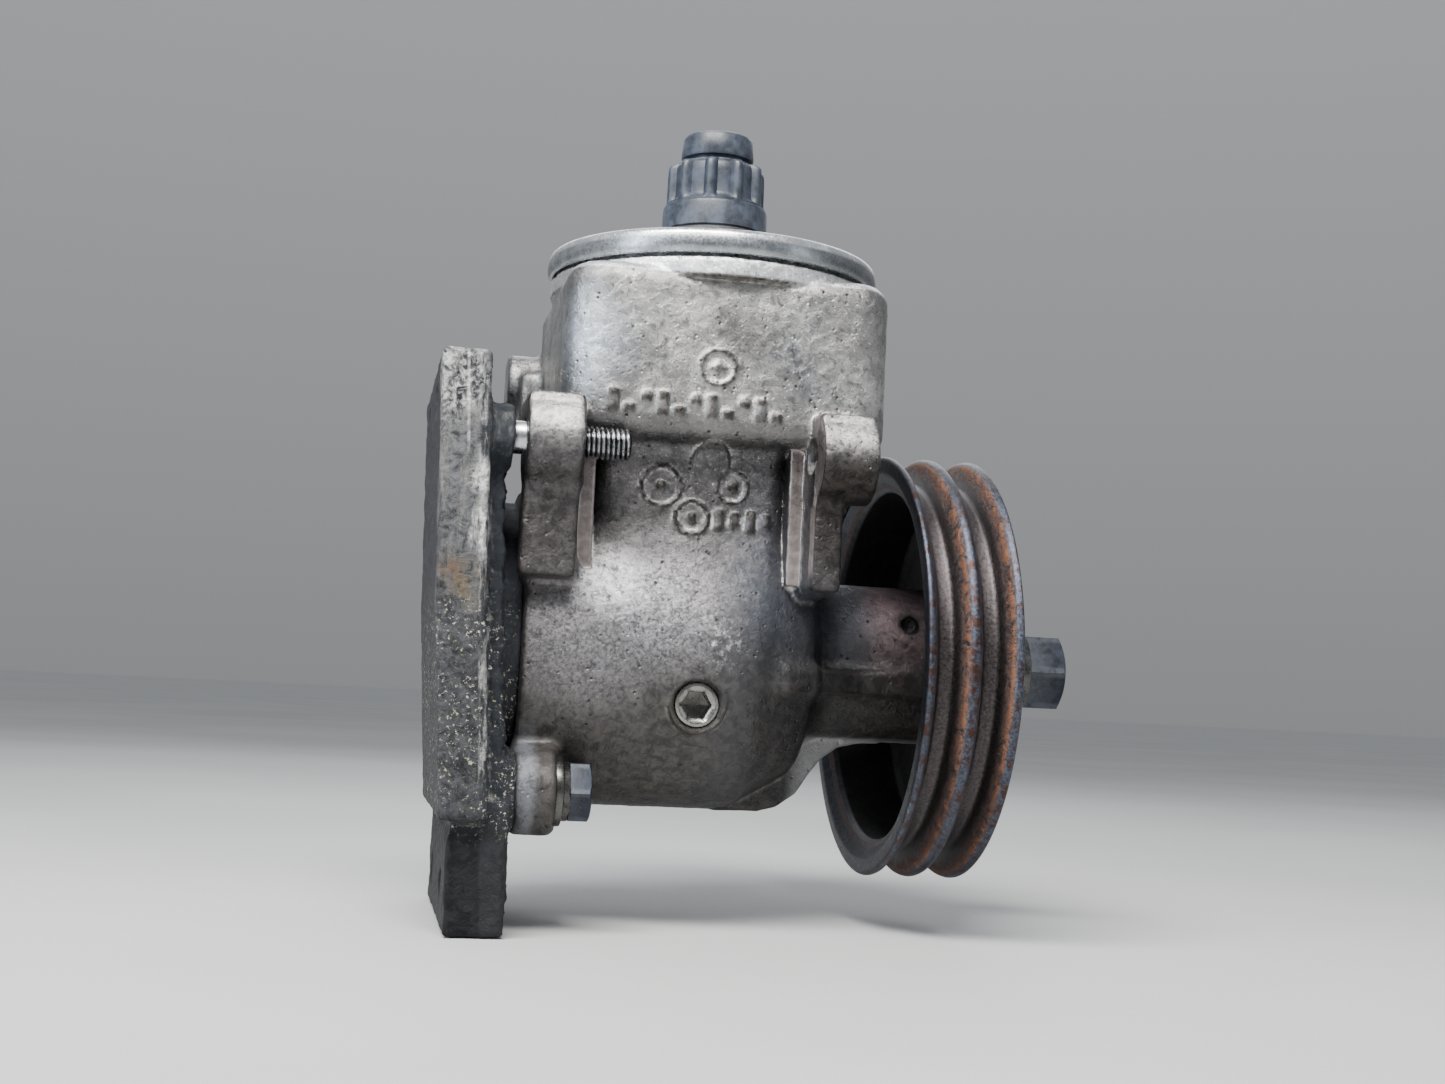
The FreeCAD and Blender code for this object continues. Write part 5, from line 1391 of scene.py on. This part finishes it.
# ------------------------------------------------------------------ fasteners
def hex_rows(flats, start, end, chamfer_start, chamfer_end, bore=0.001, dish=0.0):
    """Rows of a hexagon sector with chamfered corners; stations run from start to end."""
    half = flats / 2.0
    corner = half / math.cos(math.radians(30))

    def hexed(limit):
        return lambda a: min(half / math.cos(a - math.radians(30)), limit)

    rise = (corner - half) * 0.62
    rows = [(start, bore)]
    steps = 5
    if chamfer_start:
        for k in range(steps + 1):
            rows.append((start + rise * k / steps,
                         hexed(half * 0.96 + (corner - half * 0.96) * k / steps)))
    else:
        rows.append((start, hexed(corner)))
    if chamfer_end:
        for k in range(steps + 1):
            rows.append((end - rise * (1 - k / steps),
                         hexed(corner - (corner - half * 0.96) * k / steps)))
    else:
        rows.append((end, hexed(corner)))
    if dish:
        rows += [(end, half * 0.80), (end - dish, half * 0.74)]
        rows.append((end - dish, bore))
    else:
        rows.append((end, bore))
    return rows


def thread_tree():
    """Cuts a helical thread into a round bar that lies along X; sizes here are in metres."""
    start_run, end_run = 0.0008, 0.0004  # lengths over which the thread fades in and out
    core, least = 0.003, 0.0005          # radius left uncut, smallest radius divided by
    name = "Pump thread"
    if name in bpy.data.node_groups:
        return bpy.data.node_groups[name]
    tree = bpy.data.node_groups.new(name, "GeometryNodeTree")
    face = tree.interface
    face.new_socket("Geometry", in_out="INPUT", socket_type="NodeSocketGeometry")
    for label in ("Pitch", "Depth", "Start", "End", "Centre Y", "Centre Z"):
        face.new_socket(label, in_out="INPUT", socket_type="NodeSocketFloat")
    face.new_socket("Finish", in_out="INPUT", socket_type="NodeSocketMaterial")
    face.new_socket("Geometry", in_out="OUTPUT", socket_type="NodeSocketGeometry")
    add, link = tree.nodes.new, tree.links.new
    enter, leave = add("NodeGroupInput"), add("NodeGroupOutput")

    def maths(operation, a, b=None, clamp=False):
        node = add("ShaderNodeMath")
        node.operation = operation
        node.use_clamp = clamp
        for socket, value in zip(node.inputs, (a, b)):
            if value is None:
                continue
            if isinstance(value, (int, float)):
                socket.default_value = value
            else:
                link(value, socket)
        return node.outputs[0]

    place = add("GeometryNodeInputPosition")
    parts = add("ShaderNodeSeparateXYZ")
    link(place.outputs[0], parts.inputs[0])
    y = maths("SUBTRACT", parts.outputs["Y"], enter.outputs["Centre Y"])
    z = maths("SUBTRACT", parts.outputs["Z"], enter.outputs["Centre Z"])
    turn = maths("DIVIDE", maths("ARCTAN2", z, y), 2.0 * math.pi)
    along = maths("DIVIDE", parts.outputs["X"], enter.outputs["Pitch"])
    phase = maths("FRACT", maths("SUBTRACT", along, turn))
    away = maths("SUBTRACT", maths("MULTIPLY", phase, 2.0), 1.0)
    valley = maths("SUBTRACT", 1.0, maths("ABSOLUTE", away))
    from_start = maths("SUBTRACT", parts.outputs["X"], enter.outputs["Start"])
    run_in = maths("DIVIDE", from_start, start_run, True)
    to_end = maths("SUBTRACT", enter.outputs["End"], parts.outputs["X"])
    run_out = maths("DIVIDE", to_end, end_run, True)
    radius = maths("SQRT", maths("ADD", maths("MULTIPLY", y, y), maths("MULTIPLY", z, z)))
    wall = maths("GREATER_THAN", radius, core)
    cut = maths("MULTIPLY", maths("MULTIPLY", valley, enter.outputs["Depth"]),
                maths("MULTIPLY", maths("MULTIPLY", run_in, run_out), wall))
    share = maths("DIVIDE", maths("MULTIPLY", cut, -1.0), maths("MAXIMUM", radius, least))
    shift = add("ShaderNodeCombineXYZ")
    link(maths("MULTIPLY", y, share), shift.inputs["Y"])
    link(maths("MULTIPLY", z, share), shift.inputs["Z"])
    move, coat = add("GeometryNodeSetPosition"), add("GeometryNodeSetMaterial")
    real = add("GeometryNodeRealizeInstances")
    link(enter.outputs["Geometry"], move.inputs["Geometry"])
    link(shift.outputs[0], move.inputs["Offset"])
    link(move.outputs[0], real.inputs[0])
    link(real.outputs[0], coat.inputs["Geometry"])
    link(enter.outputs["Finish"], coat.inputs["Material"])
    link(coat.outputs[0], leave.inputs[0])
    return tree


def threaded_bar(name, start, end, radius, thread_start, y, z, finish):
    """A round bar along X whose far end carries a thread."""
    f = settings().fasteners
    pitch = f.pitch / MM
    rows = [(start, 0.001), (start, radius - 0.6), (start + 0.6, radius)]
    rows += [(thread_start - 0.3, radius)]
    count = int((end - 0.8 - thread_start) / (pitch / 10.0))
    for k in range(count + 1):
        rows.append((thread_start + (end - 0.8 - thread_start) * k / count, radius))
    rows += [(end, radius - 1.0), (end, 0.001)]
    thing = turned_piece(name, rows, 56, 1, "X", (0, y, z), finish, False, 60.0)
    cutter = thing.modifiers.new("Thread", "NODES")
    cutter.node_group = thread_tree()
    set_inputs(cutter, {"Pitch": f.pitch, "Depth": f.thread_depth, "Start": thread_start * MM,
                        "End": end * MM, "Centre Y": y * MM, "Centre Z": z * MM, "Finish": finish})
    baked(thing, name)
    smooth(thing.data, 60.0)
    return thing


def joined(name, things):
    """Several closed shells as one piece."""
    work = bmesh.new()
    for thing in things:
        work.from_mesh(thing.data)
    mesh = bpy.data.meshes.new(name)
    work.to_mesh(mesh)
    work.free()
    for thing in things:
        bpy.data.objects.remove(thing)
    made = piece(name, mesh)
    smooth(mesh, 32.0)
    return made


class PUMP_OT_stud(Operator):
    """Build the bright threaded stud"""
    bl_idname = "pump.stud"
    bl_label = "Threaded stud"

    def execute(self, context):
        low, high = corners("pivot_stud")
        spot = (low + high) / 2.0
        zinc = threaded_zinc(spot, (high[1] - low[1]) / 2.0)
        bar = threaded_bar("threaded_stud", low[0], high[0], (high[1] - low[1]) / 2.0, 38.0,
                           spot[1], spot[2], zinc)
        settle(bar, zinc, "bright_stud", "pump_body", "pivot_stud")
        return {"FINISHED"}


class PUMP_OT_bolts(Operator):
    """Build the bracket bolts, their washers, and the nut and washer of the pulley"""
    bl_idname = "pump.bolts"
    bl_label = "Bolts and nuts"

    def execute(self, context):
        f = settings().fasteners
        low, high = corners("bracket_bolts")
        flats = f.flats / MM
        y, z = high[1] - flats / 2.0, (low[2] + high[2]) / 2.0
        steel = dark_bolt_steel()
        washers_low, washers_high = corners("bolt_washers")
        head = washers_high[0]
        bolts, washers = [], []
        dull = plated_steel("dull washer steel", (0.085, 0.083, 0.080), (0.11, 0.11, 0.105), 0.6)
        for side in (-1.0, 1.0):
            spot = (0, y * side, z)
            rows = hex_rows(flats, head, high[0], False, True, dish=0.35)
            bolts.append(turned_piece("head", rows, 6, 12, "X", spot, steel, False, 28.0))
            bolts.append(threaded_bar("shank", low[0], head + 0.2, 5.0, low[0] + 2.0, spot[1],
                                      spot[2], steel))
            rad = (washers_high[2] - washers_low[2]) / 2.0
            split = washers_low[0] + 2.4
            rows = [(washers_low[0], 5.2), (washers_low[0], rad), (split - 0.15, rad),
                    (split, rad - 0.5), (split + 0.15, rad - 1.6), (head, rad - 1.6), (head, 5.2)]
            washers.append(turned_piece("washer", rounded(rows, 0.35, True, 2), 96, 1, "X", spot,
                                        dull, True, 35.0))
        settle(joined("hex_bolts", bolts), steel, "dark_bolt", "pump_body", "bracket_bolts")
        settle(joined("thick_washers", washers), dull, "grey_washer", "pump_body", "bolt_washers")

        low, high = corners("pulley_nut")
        rows = hex_rows(f.nut_flats / MM, low[0], high[0], False, True, 8.0)
        nut = turned_piece("shaft_nut", rows, 6, 12, "X", (0, 0, 0), steel, True, 28.0)
        settle(nut, steel, "dark_bolt", "shaft", "pulley_nut")
        low, high = corners("pulley_washer")
        rad = (high[1] - low[1]) / 2.0
        rows = rounded([(low[0], 8.0), (low[0], rad), (high[0], rad), (high[0], 8.0)], 0.5, True)
        ring = turned_piece("shaft_washer", rows, 128, 1, "X", (0, 0, 0), dull, True, 35.0)
        settle(ring, dull, "grey_washer", "shaft", "pulley_washer")
        return {"FINISHED"}


class PUMP_OT_plug(Operator):
    """Build the hex-socket valve plug"""
    bl_idname = "pump.plug"
    bl_label = "Valve plug"

    def execute(self, context):
        f = settings().fasteners
        low, high = corners("valve_plug")
        spot = (low + high) / 2.0
        rad = (high[0] - low[0]) / 2.0
        half = f.socket / MM / 2.0

        def hexed(inset):
            return lambda a: (half + inset) / math.cos(a - math.radians(30))

        deep = low[1] + 6.0
        rows = [(high[1], 0.001), (high[1], rad - 0.8), (high[1] - 0.8, rad), (low[1] + 1.0, rad),
                (low[1] + 0.3, rad - 0.3), (low[1], rad - 1.0), (low[1], half * 1.40),
                (low[1] + 0.7, hexed(0.15)), (low[1] + 0.9, hexed(0.0)), (deep, hexed(0.0)),
                (deep + 1.2, 0.001)]
        grey = plated_steel("greasy plug steel", (0.21, 0.205, 0.19), (0.55, 0.54, 0.50), 0.6)
        plug = turned_piece("socket_plug", rows, 6, 16, "Y", (spot[0], 0, spot[2]), grey, False,
                            30.0)
        settle(plug, grey, "dark_bolt", "pump_body", "valve_plug")
        return {"FINISHED"}


# ------------------------------------------------------------------ springs and inner pieces
def coil(name, centre, axis, start, end, radius, wire, turns, finish, body, slot, node):
    """A wire spring whose path is a helix."""
    curve = bpy.data.curves.new(name, "CURVE")
    curve.dimensions = "3D"
    curve.bevel_depth = wire * MM
    curve.bevel_resolution = 4
    curve.use_fill_caps = True
    line = curve.splines.new("POLY")
    steps = int(turns * 28)
    line.points.add(steps)
    for k in range(steps + 1):
        a = 2.0 * math.pi * turns * k / steps
        share = k / steps
        along = start + (end - start) * share
        u, v = radius * math.cos(a), radius * math.sin(a)
        spot = {"Y": (centre[0] + u, along, centre[2] + v),
                "Z": (centre[0] + u, centre[1] + v, along)}[axis]
        line.points[k].co = (*[c * MM for c in spot], 1.0)
    holder = piece(name + "_path", curve)
    graph = bpy.context.evaluated_depsgraph_get()
    mesh = bpy.data.meshes.new_from_object(holder.evaluated_get(graph))
    bpy.data.objects.remove(holder)
    thing = piece(name, mesh)
    outward(mesh)
    smooth(mesh, 60.0)
    settle(thing, finish, slot, body, node)
    return thing


class PUMP_OT_springs(Operator):
    """Build the valve spring and the filter spring"""
    bl_idname = "pump.springs"
    bl_label = "Springs"

    def execute(self, context):
        steel = ground_steel("blued spring steel", (0.20, 0.20, 0.22), 0.28, 0.45, (1, 1, 1))
        low, high = corners("valve_spring")
        mid, rad = (low + high) / 2.0, (high[0] - low[0]) / 2.0
        spring = coil("valve_coil", mid, "Y", low[1] + 0.9, high[1] - 0.9, rad - 0.9, 0.9, 9, steel,
                      "pump_body", "spring_steel", "valve_spring")
        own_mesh(spring)
        low, high = corners("filter_spring")
        mid, rad = (low + high) / 2.0, (high[0] - low[0]) / 2.0
        coil("filter_coil", mid, "Z", low[2] + 1.1, high[2] - 1.1, rad - 1.15, 1.1, 3, steel,
             "pump_body", "spring_steel", "filter_spring")
        return {"FINISHED"}


class PUMP_OT_filter(Operator):
    """Build the pleated paper filter"""
    bl_idname = "pump.filter"
    bl_label = "Pleated filter"

    def execute(self, context):
        low, high = corners("filter_element")
        cx, rad = middle_and_radius("filter_element")
        pleats = 48

        def pleat(deep, shallow):
            def radius(a):
                phase = (a * pleats / (2.0 * math.pi)) % 1.0
                return shallow + (deep - shallow) * (1.0 - abs(phase - 0.5) * 2.0)
            return radius

        outer, inner = pleat(rad - 3.6, rad - 0.6), pleat(12.6, 15.0)
        rows = [(low[2], 12.0), (low[2], rad), (low[2] + 2.0, rad), (low[2] + 2.0, outer),
                (high[2] - 2.0, outer), (high[2] - 2.0, rad), (high[2], rad), (high[2], 12.0),
                (high[2] - 2.0, 12.0), (high[2] - 2.0, inner), (low[2] + 2.0, inner),
                (low[2] + 2.0, 12.0)]
        paper = soft_matter("oiled filter paper", (0.42, 0.29, 0.13), 0.5, 0.6, 0.85)
        thing = turned_piece("pleated_filter", rows, pleats, 4, "Z", (cx, 0, 0), paper, True, 30.0)
        settle(thing, paper, "filter_paper", "pump_body", "filter_element")
        return {"FINISHED"}


class PUMP_OT_inner(Operator):
    """Give every remaining solid its own worked finish"""
    bl_idname = "pump.inner"
    bl_label = "Inner pieces"

    def execute(self, context):
        steel = (0.52, 0.52, 0.53)
        looks = {
            "ground shaft steel": (
                ground_steel, (steel, 0.12, 0.28, (5.0, 1.0, 1.0)),
                ("drive_shaft", "pulley_key", "lid_stud", "dowel_pins")),
            "polished bearing steel": (
                ground_steel, ((0.66, 0.66, 0.67), 0.06, 0.16, (4.0, 1.0, 1.0)),
                ("bearing_inner_ring", "bearing_outer_ring", "bearing_balls")),
            "stamped brass": (
                ground_steel, ((0.60, 0.42, 0.16), 0.22, 0.4, (1, 1, 1)), ("bearing_cage",)),
            "blue spring steel": (
                ground_steel, ((0.17, 0.18, 0.22), 0.25, 0.45, (1, 1, 1)),
                ("bearing_circlip", "pressure_spring", "cover_snap_ring")),
            "lapped pump steel": (
                ground_steel, ((0.42, 0.42, 0.44), 0.14, 0.32, (1.0, 6.0, 1.0)),
                ("front_port_plate", "rear_pressure_plate", "cam_ring", "rotor", "valve_spool",
                 *("vane_%02d" % k for k in range(1, 11)))),
            "machined cover iron": (
                ground_steel, ((0.18, 0.18, 0.18), 0.3, 0.5, (1, 3, 1)), ("rear_cover",)),
            "yellow zinc plate": (
                plated_steel, ((0.46, 0.40, 0.24), (0.68, 0.62, 0.45), 0.5),
                ("pressure_union", "return_nipple", "filter_plate", "filter_seat")),
            "soft copper": (
                ground_steel, ((0.50, 0.24, 0.14), 0.25, 0.45, (1, 1, 1)), ("union_washer",)),
            "black seal rubber": (
                soft_matter, ((0.020, 0.020, 0.022), 0.6, 0.45, 0.7),
                ("lid_seal", "shaft_seal", "port_plate_oring", "rear_plate_oring",
                 "cover_oring")),
        }
        for name, (maker, values, nodes) in looks.items():
            finish = maker(name, *values)
            for node in nodes:
                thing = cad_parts[node]
                thing.data.materials.clear()
                thing.data.materials.append(finish)
        return {"FINISHED"}


# ------------------------------------------------------------------ stage
class PUMP_OT_stage(Operator):
    """Lay the pale floor, hang the soft lights and stand the camera"""
    bl_idname = "pump.stage"
    bl_label = "Stage"

    def execute(self, context):
        s = settings().stage
        scene = context.scene
        level = CAD_BOX[0][2] - s.floor_drop
        reach = 40.0
        mesh = bpy.data.meshes.new("floor")
        mesh.from_pydata([(-reach, -reach, level), (reach, -reach, level), (reach, reach, level),
                          (-reach, reach, level)], [], [(0, 1, 2, 3)])
        floor = piece("floor", mesh)
        mesh.materials.append(floor_paint())

        world = bpy.data.worlds.new("soft studio") if not scene.world else scene.world
        scene.world = world
        world.use_nodes = True
        nodes, links = world.node_tree.nodes, world.node_tree.links
        sky = nodes["Background"]
        sky.inputs["Strength"].default_value = 0.47
        way, parts = nodes.new("ShaderNodeTexCoord"), nodes.new("ShaderNodeSeparateXYZ")
        rise, mixed = nodes.new("ShaderNodeMapRange"), nodes.new("ShaderNodeMix")
        mixed.data_type = "RGBA"
        rise.inputs["From Min"].default_value, rise.inputs["From Max"].default_value = -0.35, 0.60
        mixed.inputs[6].default_value = (0.30, 0.295, 0.29, 1.0)
        mixed.inputs[7].default_value = (1.0, 1.04, 1.10, 1.0)
        links.new(way.outputs["Generated"], parts.inputs[0])
        links.new(parts.outputs["Z"], rise.inputs["Value"])
        links.new(rise.outputs[0], mixed.inputs[0])
        links.new(mixed.outputs[2], sky.inputs["Color"])

        def lamp(name, place, target, size, watts, tint):
            light = bpy.data.lights.new(name, "AREA")
            light.shape = "RECTANGLE"
            light.size, light.size_y = size
            light.energy = watts
            light.color = tint
            holder = bpy.data.objects.new(name, light)
            holder.location = place
            aim = Vector(target) - Vector(place)
            holder.rotation_euler = aim.to_track_quat("-Z", "Y").to_euler()
            scene.collection.objects.link(holder)

        aim = (0.09, -0.02, 0.03)
        lamp("key", (-0.16, -0.50, 0.86), aim, (0.75, 0.30), s.key_watts, (1.0, 0.985, 0.96))
        lamp("left", (-0.75, -0.45, 0.35), aim, (0.25, 0.9), s.fill_watts * 1.3, (0.80, 0.90, 1.0))
        lamp("right", (0.95, -0.70, 0.20), aim, (0.5, 0.9), s.fill_watts * 0.4, (0.90, 0.95, 1.0))
        lamp("back", (0.30, 0.95, 0.75), aim, (1.0, 0.6), s.fill_watts, (0.95, 0.97, 1.0))

        yaw, pitch, roll = math.radians(10.99), math.radians(4.86), math.radians(2.73)
        ahead = Vector((math.sin(yaw) * math.cos(pitch), math.cos(yaw) * math.cos(pitch),
                        math.sin(pitch)))
        side = Vector((math.cos(yaw), -math.sin(yaw), 0.0))
        over = side.cross(ahead)
        right = side * math.cos(roll) + over * math.sin(roll)
        up = -side * math.sin(roll) + over * math.cos(roll)
        camera = bpy.data.objects.new("camera", bpy.data.cameras.new("camera"))
        camera.data.sensor_width = 36.0
        camera.data.lens = s.focal
        camera.data.clip_start = 0.01
        place = Vector((-21.97, -606.37, -14.45)) * MM
        turn = Matrix((right, up, -ahead)).transposed().to_4x4()
        camera.matrix_world = Matrix.Translation(place) @ turn
        scene.collection.objects.link(camera)
        scene.camera = camera
        return {"FINISHED"}


class PUMP_PT_panel(Panel):
    """The pump's sizes and builders"""
    bl_idname = "PUMP_PT_panel"
    bl_label = "Vane pump"
    bl_space_type = "VIEW_3D"
    bl_region_type = "UI"
    bl_category = "Pump"

    def draw(self, context):
        layout = self.layout
        group = settings()
        for part in (group.casting, group.fasteners, group.turned, group.colours, group.stage):
            column = layout.box().column()
            for key in part.__annotations__:
                column.prop(part, key)
        for maker in MAKERS:
            layout.operator(maker.bl_idname)


MAKERS = (PUMP_OT_stage, PUMP_OT_housing, PUMP_OT_bracket, PUMP_OT_lid, PUMP_OT_lid_nut,
          PUMP_OT_pulley, PUMP_OT_stud, PUMP_OT_bolts, PUMP_OT_plug, PUMP_OT_springs,
          PUMP_OT_filter, PUMP_OT_inner)
CLASSES = (CastingSizes, FastenerSizes, TurnedSizes, FinishColours, StageSizes, PumpSettings,
           *MAKERS, PUMP_PT_panel)


def register():
    for cls in CLASSES:
        bpy.utils.register_class(cls)
    bpy.types.Scene.vane_pump = PointerProperty(name="Vane pump", description="Pump settings",
                                                type=PumpSettings)


def unregister():
    del bpy.types.Scene.vane_pump
    for cls in reversed(CLASSES):
        bpy.utils.unregister_class(cls)


def main():
    register()
    for maker in MAKERS:
        group, name = maker.bl_idname.split(".")
        getattr(getattr(bpy.ops, group), name)()


if __name__ == "__main__":
    main()
